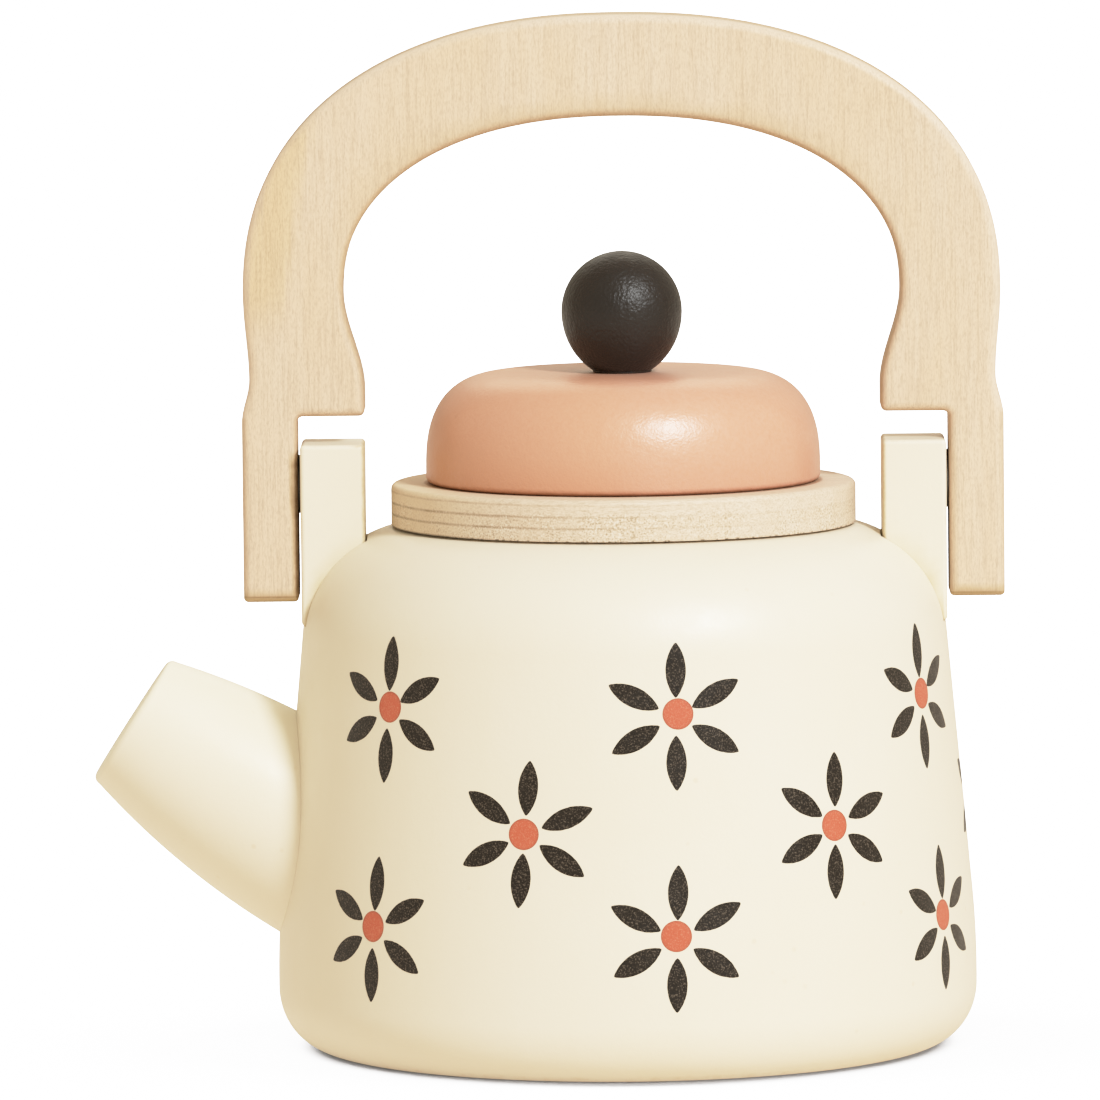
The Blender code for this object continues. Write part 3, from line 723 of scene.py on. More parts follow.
# the fourth colour is the painted shade round the lid's foot; drift paints shade low on the left and light on the right
salmon = paint(
    "lid_salmon_finish", (0.678, 0.377, 0.268, 1.0), (0.632, 0.322, 0.213, 1.0), (0.40, 0.20, 0.11, 1.0),
    (0.170, 0.045, 0.002, 1.0), gloss=(0.34, 0.40), peel=0.058, grain=(300.0, 24.0, 300.0), nap=(2300.0, 0.85),
    low=(SEAT_Z, SEAT_Z + 8.0, (0.625, 0.304, 0.190, 1.0)), shine_level=0.70, mottle=0.5,
    drift=((0.560, 0.250, 0.110, 1.0), (0.690, 0.410, 0.345, 1.0)),
)
black = finish_knob()
handle_wood = finish_handle()
collar_wood = finish_collar()
base_wood = finish_plain_wood("base_plywood_finish", 0, *BIRCH)
plug_wood = finish_plain_wood("plug_wood_finish", 1, *BIRCH)
BEECH = ((0.640, 0.440, 0.290, 1.0), (0.560, 0.360, 0.220, 1.0), (0.500, 0.300, 0.170, 1.0), (0.380, 0.210, 0.110, 1.0))
pin_wood = finish_plain_wood("pin_beech_finish", 0, *BEECH, PIVOT_Z * MM)
peg_wood = finish_plain_wood("peg_beech_finish", 2, *BEECH)
ink_dark = finish_ink("flower_ink_finish", (0.0095, 0.0062, 0.0036, 1.0), (0.0138, 0.0095, 0.0060, 1.0), (0.140, 0.112, 0.088, 1.0), (0.0030, 0.0019, 0.0010, 1.0), 1.0)
ink_coral = finish_ink("flower_dot_finish", (0.574, 0.143, 0.082, 1.0), (0.550, 0.127, 0.069, 1.0), (0.68, 0.32, 0.21, 1.0), (0.48, 0.096, 0.052, 1.0), 0.45)
fibre = finish_washer()


# --------------------------------------------------------------------------
# the kettle's own pieces
# --------------------------------------------------------------------------

def make_body():
    inside = [
        (BASE_R + 0.15, 0.25), (BASE_R + 0.15, BASE_T + 0.05), (BORE_R + 0.2, BASE_T + 0.05), (BORE_R, BASE_T + 0.3),
        *line((BORE_R, BASE_T + 0.3), (BORE_R, BODY_TOP_Z - 0.4), 10), (BORE_R + 0.4, BODY_TOP_Z),
    ]
    outside = body_outside()
    profile = outside + [(BASE_R + 0.4, 0.0)] + inside
    body = mesh_object("body_painted", *turn(profile, 288))
    for side in (-1, 1):
        x0, x1 = sorted((side * (EAR_IN_X - NOTCH_GAP), side * (EAR_OUT_X + 12.0)))
        half = EAR_D / 2 + NOTCH_FIT
        notch = mesh_object("notch", *rounded_box((x0, -half, EAR_LOW_Z - NOTCH_FIT), (x1, half, BODY_TOP_Z + 6.0), 0.12, 2))
        carve(body, notch)
        drill(body, (side * PEG_IN_X, 0.0, PEG_Z), (side * PEG_OUT_X, 0.0, PEG_Z), PEG_HOLE_R)
    drill(body, SPOUT_TIP - spout_out() * SPOUT_HOLE_OUT, SPOUT_TIP - spout_out() * SPOUT_HOLE_IN, SPOUT_HOLE_R)

    def worn(x, y, z):
        r = math.hypot(x, y)
        ear = max(abs(x) - EAR_IN_X, 0.0) > 0 and z > EAR_LOW_Z - 1 and abs(abs(y) - EAR_D / 2) < 0.7
        return max(0.4 * near(z - 0.6, 1.4) * (r > 47), 0.25 * bool(ear))

    wear_and_shade_by(body, worn)
    return piece(body, cream_body, "kettle", ["body_shell"], 34.0)


def make_spout():
    def spout_r(s):
        return SPOUT_R0 + SPOUT_R1 * s + SPOUT_R2 * s * s

    end = spout_r(SPOUT_END_ROUND)
    flat = end - SPOUT_END_ROUND
    profile = [(0.0, 0.0)] + [(flat * t, 0.0) for t in (0.25, 0.5, 0.75, 0.95)]
    profile += list(arc(flat, -SPOUT_END_ROUND, SPOUT_END_ROUND, 90.0, 13.0, 9))
    profile += [
        (spout_r(s), -s)
        for s in (SPOUT_END_ROUND + 0.15 + (SPOUT_LEN - SPOUT_END_ROUND - 0.15) * i / 60 for i in range(61))
    ]
    profile.append((0.0, -SPOUT_LEN))
    spout = mesh_object("spout_painted", *turn(profile, 176, False))
    out = spout_out()
    placed(spout, Matrix.Translation(SPOUT_TIP * MM) @ out.to_track_quat("Z", "Y").to_matrix().to_4x4())
    filled = body_outside(0.015)
    cope = mesh_object("cope", *turn([(0.0, filled[0][1])] + filled + [(0.0, filled[-1][1])], 288, False))
    carve(spout, cope)
    drill(spout, SPOUT_TIP - out * SPOUT_HOLE_OUT, SPOUT_TIP - out * SPOUT_HOLE_IN, SPOUT_HOLE_R)

    def worn(x, y, z):
        s = (SPOUT_TIP - Vector((x, y, z))).dot(out)
        d = (Vector((x, y, z)) - SPOUT_TIP + out * s).length
        return 0.12 * near(s - 0.9, 0.9) * (d > flat + 0.3)

    wear_and_shade_by(spout, worn)
    return piece(spout, cream_spout, "kettle", ["spout"], 34.0)


def make_collar():
    collar = mesh_object("collar_plies", *turn(turned_ring(COLLAR_R, COLLAR_HOLE_R, COLLAR_LOW, COLLAR_TOP, 0.9, 0.06, 0.4), 240))

    def worn(x, y, z):
        r = math.hypot(x, y)
        return max(near(z - COLLAR_TOP + 0.3, 0.9) * near(r - COLLAR_R + 0.3, 0.9), 0.8 * near(z - COLLAR_LOW, 0.6) * (r > 38))

    wear_and_shade_by(collar, worn)
    return piece(collar, collar_wood, "kettle", ["collar_ring"])


def make_base():
    profile = [(0.0, BASE_T)] + [(BASE_R * t, BASE_T) for t in (0.3, 0.6, 0.9)]
    profile += list(arc(BASE_R - 0.4, BASE_T - 0.4, 0.4, 90.0, 0.0, 4))
    profile += list(arc(BASE_R - 0.4, 0.4, 0.4, 0.0, -90.0, 4))
    profile += [(BASE_R * t, 0.0) for t in (0.9, 0.6, 0.3)] + [(0.0, 0.0)]
    base = mesh_object("base_ply_disc", *turn(profile, 144, False))
    wear_and_shade_by(base, lambda x, y, z: near(math.hypot(x, y) - BASE_R, 1.2) * near(z, 1.0))
    return piece(base, base_wood, "kettle", ["base_disc"])


def make_ears():
    for side, name in ((-1, "left"), (1, "right")):
        x0, x1 = sorted((side * EAR_IN_X, side * EAR_OUT_X))
        low, high = Vector((x0, -EAR_D / 2, EAR_LOW_Z)), Vector((x1, EAR_D / 2, EAR_TOP_Z))
        ear = mesh_object("ear_painted_" + name, *rounded_box(low, high, EAR_ROUND, 4))
        drill(ear, (side * (PIN_IN_X - 0.3), 0.0, PIVOT_Z), (side * (EAR_OUT_X + 3.0), 0.0, PIVOT_Z), PIN_R + 0.05)
        drill(ear, (side * PEG_IN_X, 0.0, PEG_Z), (side * PEG_OUT_X, 0.0, PEG_Z), PEG_HOLE_R)

        def worn(x, y, z):
            gaps = sorted(
                min(p - a, b - p) for p, a, b in ((x, low.x, high.x), (y, low.y, high.y), (z, low.z, high.z))
            )
            return (0.9 if abs(x) < EAR_IN_X + 1.0 else 0.4) * near(gaps[1] - 0.15, 0.6)

        def shaded(x, y, z):
            # painted shade: darker where the ear meets the body's shoulder, most low down, and along the ear's inner
            # side
            out = min(abs(math.hypot(x, y) - SHOULDER_CR), SHOULDER_R)
            rise = z - SHOULDER_Z - math.sqrt(SHOULDER_R**2 - out**2)
            low = min(max((BODY_TOP_Z - 1.0 - z) / 12.0, 0.0), 1.0)
            crease_shade = (0.15 + 0.65 * low) * max(0.0, 1.0 - max(rise, 0.0) / 6.0) ** 1.6
            return max(crease_shade, 0.75 * near(abs(x) - EAR_IN_X, 0.7))

        wear_and_shade_by(ear, worn)
        # the ear's painted shade is stored here
        wear_and_shade_by(ear, shaded, "painted_shade")
        piece(ear, cream_ear, "kettle", ["bracket_" + name])

        washer = mesh_object("washer_fibre_" + name, *turn(turned_ring(WASHER_R, WASHER_HOLE_R, 0.0, WASHER_T, 0.08, 0.08, 0.05, 3), 72))
        gap = (LEG_IN_X - EAR_OUT_X - WASHER_T) / 2
        placed(washer, along_x(side, EAR_OUT_X + gap))
        wear_and_shade_by(washer, lambda x, y, z: near(math.hypot(y, z - PIVOT_Z) - WASHER_R, 0.3))
        piece(washer, fibre, "kettle", ["pivot_washer_" + name])

        pin = mesh_object("pivot_dowel_" + name, *turn(rod_profile(PIN_R, PIN_OUT_X - PIN_IN_X - 0.1, 0.35, 0.1), 72, False))
        placed(pin, along_x(side, PIN_IN_X))
        wear_and_shade_by(pin, lambda x, y, z: near(math.hypot(y, z - PIVOT_Z) - PIN_R, 0.5))
        piece(pin, pin_wood, "kettle", ["pivot_pin_" + name])


def handle_half():
    """The right half of the handle's outline, from the crown's top round to its underside."""
    points = [(x, ARCH_Z + z) for x, z in superellipse(ARCH_OUT_A, ARCH_OUT_B, ARCH_OUT_N, 90.0, 0.0, 90)]
    points += ease((ARCH_OUT_A, ARCH_Z), (WAIST_OUT_X, WAIST_Z), 16)
    points += ease((WAIST_OUT_X, WAIST_Z), (LEG_OUT_X, NOTCH_Z - 1.0), 12)
    points += line((LEG_OUT_X, NOTCH_Z - 1.0), (LEG_OUT_X, LEG_LOW_Z + LEG_CLEAR), 12)
    points.append((LEG_OUT_X, LEG_LOW_Z + HANDLE_ROUND + 0.1))
    for x, way, start in ((LEG_OUT_X, -1.0, 0.0), (LEG_IN_X, 1.0, -90.0)):
        cx, cz = x + way * LEG_CORNER, LEG_LOW_Z + LEG_CORNER
        corner = (cx, cz, LEG_CORNER, way, 1.0)
        points += [(*p, corner) for p in arc(cx, cz, LEG_CORNER, start, start - 90.0, 8)]
        if way < 0:
            points += [(LEG_OUT_X - LEG_CLEAR, LEG_LOW_Z), (LEG_IN_X + LEG_CLEAR, LEG_LOW_Z)]
    points += [(LEG_IN_X, LEG_LOW_Z + HANDLE_ROUND + 0.1), (LEG_IN_X, LEG_LOW_Z + LEG_CLEAR)]
    points += line((LEG_IN_X, LEG_LOW_Z + LEG_CLEAR), (LEG_IN_X, NOTCH_Z - NOTCH_ROUND), 12)
    points += list(arc(LEG_IN_X - NOTCH_ROUND, NOTCH_Z - NOTCH_ROUND, NOTCH_ROUND, 0.0, 90.0, 8))[1:]
    points += line((LEG_IN_X - NOTCH_ROUND, NOTCH_Z), (FOOT_IN_X + LEG_CLEAR, NOTCH_Z), 5)
    cx, cz = FOOT_IN_X + NOTCH_TOE, NOTCH_Z + NOTCH_TOE
    points += [(*p, (cx, cz, NOTCH_TOE, 1.0, 1.0)) for p in arc(cx, cz, NOTCH_TOE, -90.0, -180.0, 8)]
    points += [(FOOT_IN_X, NOTCH_Z + LEG_CLEAR), (FOOT_IN_X, FOOT_IN_Z)]
    points += list(ease((FOOT_IN_X, FOOT_IN_Z), (ARCH_IN_A, ARCH_Z), 22))[:-1]
    points += [(x, ARCH_Z + z) for x, z in superellipse(ARCH_IN_A, ARCH_IN_B, ARCH_IN_N, 0.0, 90.0, 70)]
    return points


def make_handle():
    half = handle_half()
    outline = half + [
        (-p[0], p[1]) if len(p) == 2 else (-p[0], p[1], (-p[2][0], *p[2][1:3], -p[2][3], p[2][4]))
        for p in reversed(half)
    ][1:-1]
    handle = mesh_object("handle_plies", *board(outline, HANDLE_T, HANDLE_ROUND, 7))
    for side in (-1, 1):
        hole = mesh_object("hole", *turn([(0.0, 20.0), (PIN_R + PIN_RUN, 20.0), (PIN_R + PIN_RUN, 0.0), (0.0, 0.0)], 72, False))
        placed(hole, along_x(side, LEG_IN_X - 5.0) @ Matrix.Rotation(math.pi / 72, 4, "Z"))
        carve(handle, hole)

    deep = HANDLE_T / 2

    def inner(x, z):
        if z > ARCH_Z:
            n = (ARCH_OUT_N + ARCH_IN_N) / 2
            a, b = (ARCH_OUT_A + ARCH_IN_A) / 2, (ARCH_OUT_B + ARCH_IN_B) / 2
            return (abs(x) / a) ** n + ((z - ARCH_Z) / b) ** n < 1.0
        return abs(x) < (54.0 if z > NOTCH_Z else (LEG_IN_X + LEG_OUT_X) / 2)

    def rounded(y, down):
        """1 well down the rounding over an edge, 0 on the faces."""
        return min(max((deep - abs(y)) / down, 0.0), 1.0)

    def worn(x, y, z):
        return (1.0 if z > NOTCH_Z else 0.3) * rounded(y, 0.55) * (abs(y) > deep - HANDLE_ROUND - 0.2) * (not inner(x, z)) * (z > LEG_LOW_Z + 2.0)

    def burnt_and_shaded(x, y, z):
        leg = abs(x) < LEG_IN_X + HANDLE_ROUND and NOTCH_Z - 6.0 > z
        low = (0.35 if inner(x, z) else 0.2) if abs(y) < deep - HANDLE_ROUND * 0.6 else 0.0
        if leg:
            # painted shade of the ear on the leg's inner edge: most where the leg comes close to its ear, wider beside
            # the washer, and darkest on the left leg
            off = max(abs(x) - LEG_IN_X, 0.0)
            wide = 1.3 + 0.6 * math.sqrt(max(1.0 - ((z - PIVOT_Z) / 5.2) ** 2, 0.0))
            if x < 0:
                leg_shade = max(1.0 - (off / wide) ** 1.8, 0.0)
            else:
                leg_shade = max(0.95 * near(off, 0.12), 0.14 * max(1.0 - (off / 1.4) ** 3, 0.0))
            return max((leg_shade if abs(y) > 4.2 else 0.55) * (abs(y) < deep - 0.01), low)
        if not inner(x, z):
            # painted shade on the outer rounding of the legs, wider on the left leg
            return max(low, 0.22 * rounded(y, 0.4 if x < 0 else 1.1) * (z < NOTCH_Z))
        if z < ARCH_Z:
            return max(low, 0.42 * rounded(min(abs(y) + 0.25, deep), 0.5))
        # painted shade: a tan edge along the underside that is widest at the crown
        crown = min(max((z - ARCH_Z) / ARCH_IN_B, 0.0), 1.0) ** 2
        off = (((abs(x) / ARCH_IN_A) ** ARCH_IN_N + ((z - ARCH_Z) / ARCH_IN_B) ** ARCH_IN_N) ** (1 / ARCH_IN_N) - 1.0) * ARCH_IN_B
        edge = max(0.45 * crown * max(1.0 - off / 3.6, 0.0), 0.42 * rounded(y, 0.5 - 0.3 * crown))
        tuck = 0.42 + (0.24 * min((z - ARCH_Z) / 6.0, 1.0) if abs(y) > deep - HANDLE_ROUND + 0.1 else 0.0)
        return max(low, edge, tuck * rounded(y, 1.2) ** 3)

    wear_and_shade_by(handle, worn)
    # stores a scorched brown on the sawn faces together with painted shade
    wear_and_shade_by(handle, burnt_and_shaded, "burn_and_shade")
    wear_and_shade_by(handle, lambda x, y, z: min(max((deep - HANDLE_ROUND * 0.45 - abs(y)) / 0.4, 0.0), 1.0), "edge")
    return piece(handle, handle_wood, "swing_handle", ["handle"])


def make_lid():
    crest = SEAT_Z + LID_H
    profile = [(3.05, crest - LID_DISH)]
    for i in range(1, 30):
        t = i / 30
        profile.append((3.05 + (LID_FLAT_R - 3.05) * t, crest - LID_DISH * (0.5 + 0.5 * math.cos(math.pi * t))))
    side = SEAT_Z + LID_SIDE_H
    shoulder = list(superellipse(LID_R - LID_FLAT_R, LID_H - LID_SIDE_H, LID_POWER, 90.0, 0.0, 72))
    profile += [(LID_FLAT_R + x, side + z) for x, z in shoulder]
    profile += list(line(profile[-1], (LID_R, SEAT_Z + LID_FOOT), 3))
    profile += list(arc(LID_R - LID_FOOT, SEAT_Z + LID_FOOT, LID_FOOT, 0.0, -90.0, 10))[1:]
    profile += [(24.0, SEAT_Z), (12.0, SEAT_Z), (3.05, SEAT_Z)]
    cap = mesh_object("lid_painted", *turn(profile, 240))
    wear_and_shade_by(cap, lambda x, y, z: 0.5 * near(z - SEAT_Z - 0.5, 0.8) * (math.hypot(x, y) > 30))
    # painted shade: a dark line round the lid's foot, where it sits on the collar
    wear_and_shade_by(cap, lambda x, y, z: near(z - SEAT_Z, 0.6) ** 1.3, "painted_shade")
    piece(cap, salmon, "lid", ["lid_cap"])

    plug = mesh_object("lid_plug_wood", *turn(turned_ring(PLUG_R, 3.05, PLUG_LOW, PLUG_TOP, 0.3, 0.7, 0.2), 192))
    wear_and_shade_by(plug, lambda x, y, z: near(math.hypot(x, y) - PLUG_R, 0.8) * near(z - PLUG_LOW, 1.2))
    piece(plug, plug_wood, "lid", ["lid_plug"])

    ball = [(KNOB_R * math.sin(math.radians(a)), KNOB_Z + KNOB_R * math.cos(math.radians(a))) for a in range(0, 90, 3)]
    last = math.asin(KNOB_FOOT_R / KNOB_R)
    for i in range(25):
        a = math.pi / 2 - (math.pi / 2 - last) * i / 24
        ball.append((KNOB_R * math.sin(a), KNOB_Z - KNOB_DROP * math.cos(a)))
    ball += [(KNOB_FOOT_R, KNOB_FOOT_Z + 0.12), (KNOB_FOOT_R - 0.12, KNOB_FOOT_Z), (3.05, KNOB_FOOT_Z), (3.05, KNOB_Z - 1.7), (0.0, KNOB_Z - 1.7)]
    knob = mesh_object("knob_painted", *turn(ball, 144, False))
    wear_and_shade_by(knob, lambda x, y, z: 0.5 * near(z - KNOB_FOOT_Z, 0.8) * (math.hypot(x, y) > 4.5))
    piece(knob, black, "lid", ["knob"], 50.0)


def on_wall(theta, z, out):
    """A point on the body's wall, or out millimetres off it along its normal."""
    slope = (wall_r(z + 0.05) - wall_r(z - 0.05)) / 0.1
    n = 1.0 / math.hypot(1.0, slope)
    r = wall_r(z) + out * n
    return r * math.sin(theta), -r * math.cos(theta), z - out * slope * n


def ink_film(outline_rows, theta, z, turned_by, shift):
    """A thin closed film of ink on the wall from rows of points across a shape, which is turned and shifted first."""
    points, faces = [], []
    c, s = math.cos(turned_by), math.sin(turned_by)
    rows, cols = len(outline_rows), len(outline_rows[0])
    for out in (INK_UP, -INK_DOWN):
        for row in outline_rows:
            for u, v in row:
                a, b = shift[0] + u * c - v * s, shift[1] + u * s + v * c
                zz = z + b * math.cos(LEAN)
                points.append(on_wall(theta + a / wall_r(zz), zz, out))
    back = rows * cols
    for i in range(rows - 1):
        for j in range(cols - 1):
            k = i * cols + j
            faces.append([k, k + cols, k + cols + 1, k + 1])
            faces.append([back + k, back + k + 1, back + k + cols + 1, back + k + cols])
    rim = [j for j in range(cols)] + [i * cols + cols - 1 for i in range(1, rows)]
    rim += [(rows - 1) * cols + j for j in range(cols - 2, -1, -1)] + [i * cols for i in range(rows - 2, 0, -1)]
    for a, b in zip(rim, rim[1:] + rim[:1]):
        faces.append([a, b, back + b, back + a])
    return points, faces


def petal_rows(seed):
    """Rows of points across a pointed petal between two arcs, with the slight unevenness of printed edges."""
    half, wide, reach = PETAL_LEN / 2, PETAL_WIDE / 2, PETAL_LEN / 2 + PETAL_TIP
    bow = (reach * reach + wide * wide) / (2 * wide)
    rows = []
    for i in range(31):
        u = -half * math.cos(math.pi * i / 30) * 0.5 + (-half + PETAL_LEN * i / 30) * 0.5
        blunt = max(abs(u) - half + PETAL_TIP, 0.0) / PETAL_TIP
        w = (math.sqrt(bow * bow - min(abs(u), half - PETAL_TIP) ** 2) - (bow - wide)) * math.sqrt(max(1.0 - blunt * blunt, 0.0))
        edge = [w + (0.045 * noise.noise(Vector((u * 2.6, seed * 3.7, side * 5.1))) if 0 < i < 30 else 0.0) for side in (-1, 1)]
        edge = [max(e, 0.0) if 0 < i < 30 else 0.0 for e in edge]
        rows.append([(u, -edge[0] + (edge[0] + edge[1]) * j / 4) for j in range(5)])
    return rows


def dot_rows():
    rows = []
    for i in range(25):
        u = -DOT_R * math.cos(math.pi * i / 24)
        w = math.sqrt(max(DOT_R * DOT_R - u * u, 0.0)) if 0 < i < 24 else 0.0
        rows.append([(u, w * j) for j in (-1.0, -0.93, -0.84, -0.4, 0.4, 0.84, 0.93, 1.0)])
    return rows


def make_flowers():
    petals, dots = ([], []), ([], [])

    def add(to, made):
        first = len(to[0])
        to[0].extend(made[0])
        to[1].extend([first + k for k in face] for face in made[1])

    seed = 0
    for places, ways, shift in PRINT_ROWS:
        for degrees, z in places:
            theta = math.radians(degrees)
            add(dots, ink_film(dot_rows(), theta, z, 0.0, (0.0, 0.0)))
            for way in ways:
                seed += 1
                a = math.radians(way)
                out = (shift[0] + PETAL_OUT * math.cos(a), shift[1] + PETAL_OUT * math.sin(a))
                add(petals, ink_film(petal_rows(seed), theta, z, a, out))
    for name, made, mat in (("flower_petals_ink", petals, ink_dark), ("flower_centres_ink", dots, ink_coral)):
        print_mesh = mesh_object(name, *made)

        def rim(x, y, z):
            r = min(
                math.hypot(((math.atan2(x, -y) - math.radians(a) + math.pi) % TAU - math.pi) * wall_r(z), z - b)
                for places, _, _ in PRINT_ROWS for a, b in places
            )
            return max(0.0, 1.0 - abs(r - DOT_R) / 0.32)

        if made is dots:
            wear_and_shade_by(print_mesh, rim, "rim")
        piece(print_mesh, mat, "kettle")


body = make_body()
spout = make_spout()
make_collar()
make_base()
make_ears()
make_handle()
make_lid()
make_flowers()

# pegs that are wholly inside keep their solids
for node in ("spout_dowel", "bracket_dowel_left", "bracket_dowel_right", "knob_dowel"):
    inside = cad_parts[node].data
    inside.materials.clear()
    inside.materials.append(peg_wood)


# --------------------------------------------------------------------------
# floor, light and camera
# --------------------------------------------------------------------------

def make_floor(name, z, colour, glow):
    bm = bmesh.new()
    bmesh.ops.create_circle(bm, cap_ends=True, radius=14.0, segments=96)
    bmesh.ops.translate(bm, verts=bm.verts, vec=(0.0, 0.0, z))
    mesh = bpy.data.meshes.new(name)
    bm.to_mesh(mesh)
    bm.free()
    floor = bpy.data.objects.new(name, mesh)
    bpy.context.scene.collection.objects.link(floor)
    mat = bpy.data.materials.new(name + "_white")
    mat.use_nodes = True
    node = mat.node_tree.nodes["Principled BSDF"]
    node.inputs["Base Color"].default_value = colour
    node.inputs["Roughness"].default_value = 0.9
    node.inputs["Specular IOR Level"].default_value = 0.0
    if glow:
        # dimmer under the kettle and close round it
        tree = mat.node_tree
        away, fade = tree.nodes.new("ShaderNodeVectorMath"), tree.nodes.new("ShaderNodeMapRange")
        away.operation = "LENGTH"
        tree.links.new(tree.nodes.new("ShaderNodeNewGeometry").outputs["Position"], away.inputs[0])
        tree.links.new(away.outputs["Value"], fade.inputs["Value"])
        for key, value in (("From Min", 0.048), ("From Max", 0.066), ("To Min", 0.78)):
            fade.inputs[key].default_value = value
        # and dark right at its foot, more so on the side away from the light
        edge, shaded = tree.nodes.new("ShaderNodeMapRange"), tree.nodes.new("ShaderNodeVectorMath")
        shaded.operation = "DISTANCE"
        shaded.inputs[1].default_value = (-0.0038, 0.0022, 0.0)
        tree.links.new(away.inputs[0].links[0].from_socket, shaded.inputs[0])
        tree.links.new(shaded.outputs["Value"], edge.inputs["Value"])
        for key, value in (("From Min", 0.0495), ("From Max", 0.0585), ("To Min", 0.35)):
            edge.inputs[key].default_value = value
        both = tree.nodes.new("ShaderNodeMath")
        both.operation = "MULTIPLY"
        tree.links.new(fade.outputs[0], both.inputs[0])
        tree.links.new(edge.outputs[0], both.inputs[1])
        tree.links.new(both.outputs[0], node.inputs["Emission Strength"])
        node.inputs["Emission Color"].default_value = glow
    mesh.materials.append(mat)
    return floor


def falls_on(light, objects, state):
    """Limits what a light falls on: only these objects, or all but these objects."""
    group = bpy.data.collections.new(light.name + "_falls_on")
    for obj in objects:
        group.objects.link(obj)
    light.light_linking.receiver_collection = group
    for item in group.collection_objects:
        item.light_linking.link_state = state


def lamp(name, kind, direction, distance, energy, colour, **settings):
    data = bpy.data.lights.new(name, kind)
    data.energy, data.color = energy, colour
    for key, value in settings.items():
        setattr(data, key, value)
    obj = bpy.data.objects.new(name, data)
    bpy.context.scene.collection.objects.link(obj)
    way = Vector(direction).normalized()
    obj.location = Vector((0.0, 0.0, 0.09)) + way * distance
    obj.rotation_euler = way.to_track_quat("Z", "Y").to_euler()
    return obj


shades = bpy.data.collections.new("shades_floor")
shades.objects.link(body)

# the floor that is seen is washed with its own light, and a second one under it throws light up at the kettle
floor = make_floor("floor", 0.0, (0.350, 0.410, 0.557, 1.0), None)
floor.visible_diffuse = floor.visible_glossy = floor.visible_transmission = floor.visible_shadow = False
bounce = make_floor("floor_bounce", -0.0002, (0.80, 0.79, 0.77, 1.0), (0.604, 0.514, 0.434, 1.0))
bounce.visible_camera = False
key = lamp("key_softbox", "AREA", (0.43, -0.69, 0.59), 2.2, 44.5, (0.955, 0.988, 1.0), shape="DISK", size=0.42)
falls_on(key, [floor, bounce], "EXCLUDE")
back = lamp("back_softbox", "AREA", (-0.05, 0.78, 0.62), 2.2, 7.0, (1.0, 0.94, 0.82), shape="DISK", size=1.6)
falls_on(back, [floor, bounce], "EXCLUDE")
# a little light from above in the corner between spout and body
fill = lamp("spout_fill", "SUN", (-0.25, 0.15, 1.0), 2.0, 0.66, (0.92, 1.0, 0.83), angle=math.radians(60.0))
falls_on(fill, [spout], "INCLUDE")
own = bpy.data.collections.new("shades_spout")
own.objects.link(spout)
fill.light_linking.blocker_collection = own
for name, lean, energy, wide in (("floor_wash_soft", (0.0, 0.0), 5.5, 180.0), ("floor_wash_left", (-0.75, 0.0), 17.0, 40.0), ("floor_wash_right", (0.75, 0.0), 17.0, 40.0), ("floor_wash_front", (0.0, -1.9), 4.2, 40.0)):
    wash = lamp(name, "SUN", (*lean, 1.0), 2.0, energy, (1.0, 0.85, 0.628), angle=math.radians(wide))
    falls_on(wash, [floor], "INCLUDE")
    wash.light_linking.blocker_collection = shades

world = bpy.data.worlds.new("studio")
world.use_nodes = True
sky = world.node_tree.nodes["Background"]
sky.inputs["Color"].default_value = (1.0, 0.85, 0.628, 1.0)
sky.inputs["Strength"].default_value = 0.645
bpy.context.scene.world = world

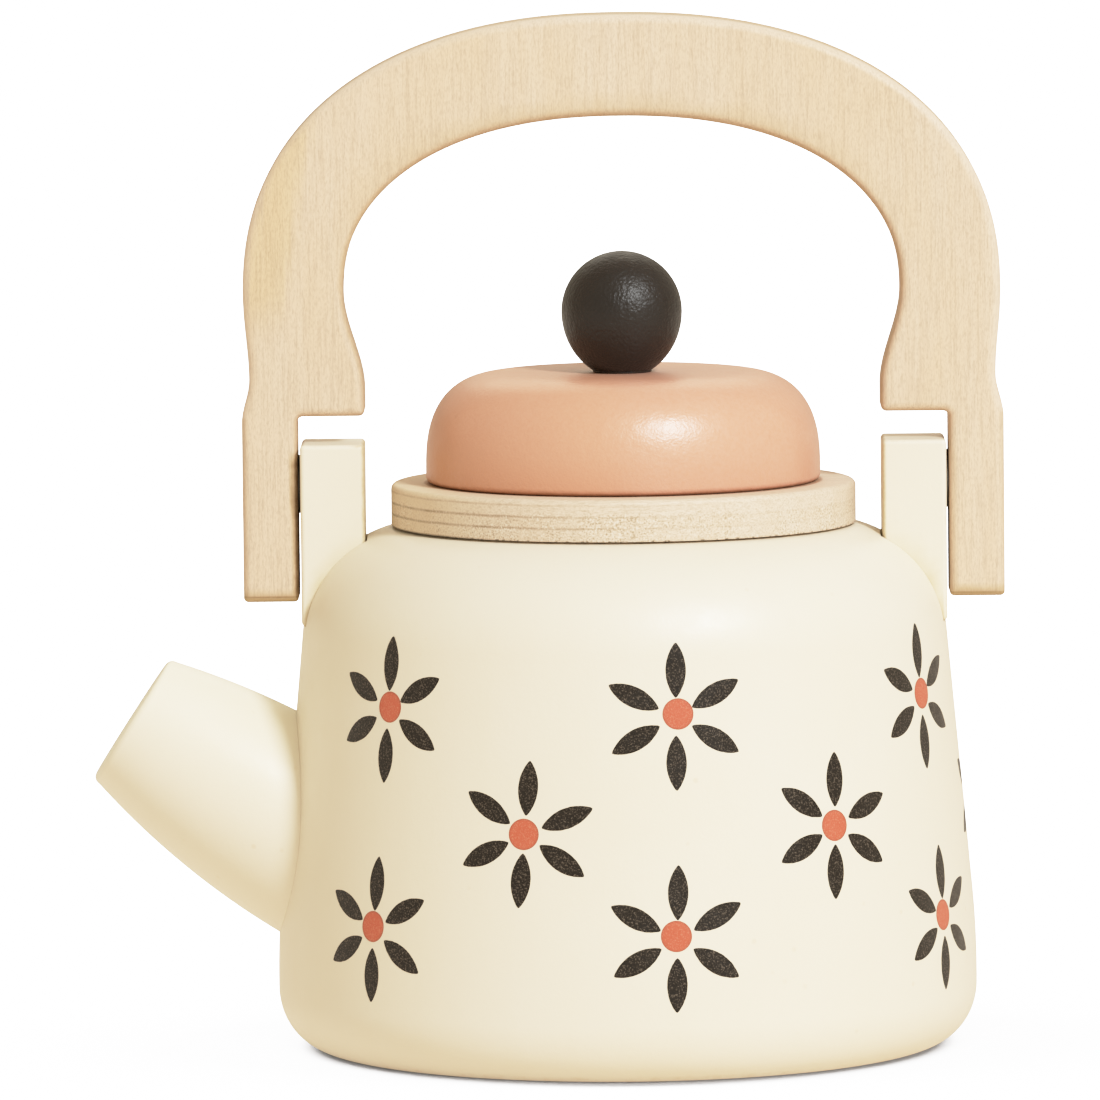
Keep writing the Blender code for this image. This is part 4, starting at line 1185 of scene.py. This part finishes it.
# print-like tones: straight up to the middle, then easing off to white
display = bpy.context.scene.view_settings
display.view_transform = "Standard"
display.use_curve_mapping = True
tones = display.curve_mapping
WHITE, KNEE = 4.0, 0.5
tones.white_level = (WHITE, WHITE, WHITE)
curve = tones.curves[3]
for x in (KNEE, 0.6, 0.7, 0.8, 0.9, 1.0, 1.1, 1.2, 1.35, 1.5, 1.7, 1.9, 2.2, 2.6, 3.2):
    curve.points.new(x / WHITE, KNEE + (1.0 - KNEE) * (1.0 - math.exp((KNEE - x) / (1.0 - KNEE))))
for point in curve.points:
    point.handle_type = "VECTOR"
tones.update()

# the photograph is 1100 pixels wide and shows about 6 pixels to the millimetre
PIXELS, FOCAL, DISTANCE, ABOVE, ROLL = 1100, 12000.0, 2000.0, math.radians(5.2), 0.0095
ORIGIN_AT = (628.6, 1042.0)
aim = Vector((0.0, 0.0, 80.0))
stand = aim + DISTANCE * Vector((0.0, -math.cos(ABOVE), math.sin(ABOVE)))
ahead, up = Vector((0.0, math.cos(ABOVE), -math.sin(ABOVE))), Vector((0.0, math.sin(ABOVE), math.cos(ABOVE)))
right = Vector((1.0, 0.0, 0.0)) * math.cos(ROLL) - up * math.sin(ROLL)
up = up * math.cos(ROLL) + Vector((1.0, 0.0, 0.0)) * math.sin(ROLL)
drop = FOCAL * (-stand).dot(up) / (-stand).dot(ahead)
side = FOCAL * (-stand).dot(right) / (-stand).dot(ahead)
# where the middle of the picture lies from the aim, in pixels to the right and upward
pan = ((PIXELS / 2 - ORIGIN_AT[0] + side) / FOCAL, (ORIGIN_AT[1] - PIXELS / 2 + drop) / FOCAL)
ahead = (ahead + right * pan[0] + up * pan[1]).normalized()
right = (right - ahead * right.dot(ahead)).normalized()
up = right.cross(ahead)

lens = bpy.data.cameras.new("camera")
lens.sensor_width, lens.sensor_fit = 36.0, "HORIZONTAL"
lens.lens = FOCAL / PIXELS * lens.sensor_width
lens.clip_start, lens.clip_end = 0.05, 60.0
camera = bpy.data.objects.new("camera", lens)
bpy.context.scene.collection.objects.link(camera)
pose = Matrix((right, up, -ahead)).transposed().to_4x4()
pose.translation = stand * MM
camera.matrix_world = pose
bpy.context.scene.camera = camera

bpy.context.view_layer.update()
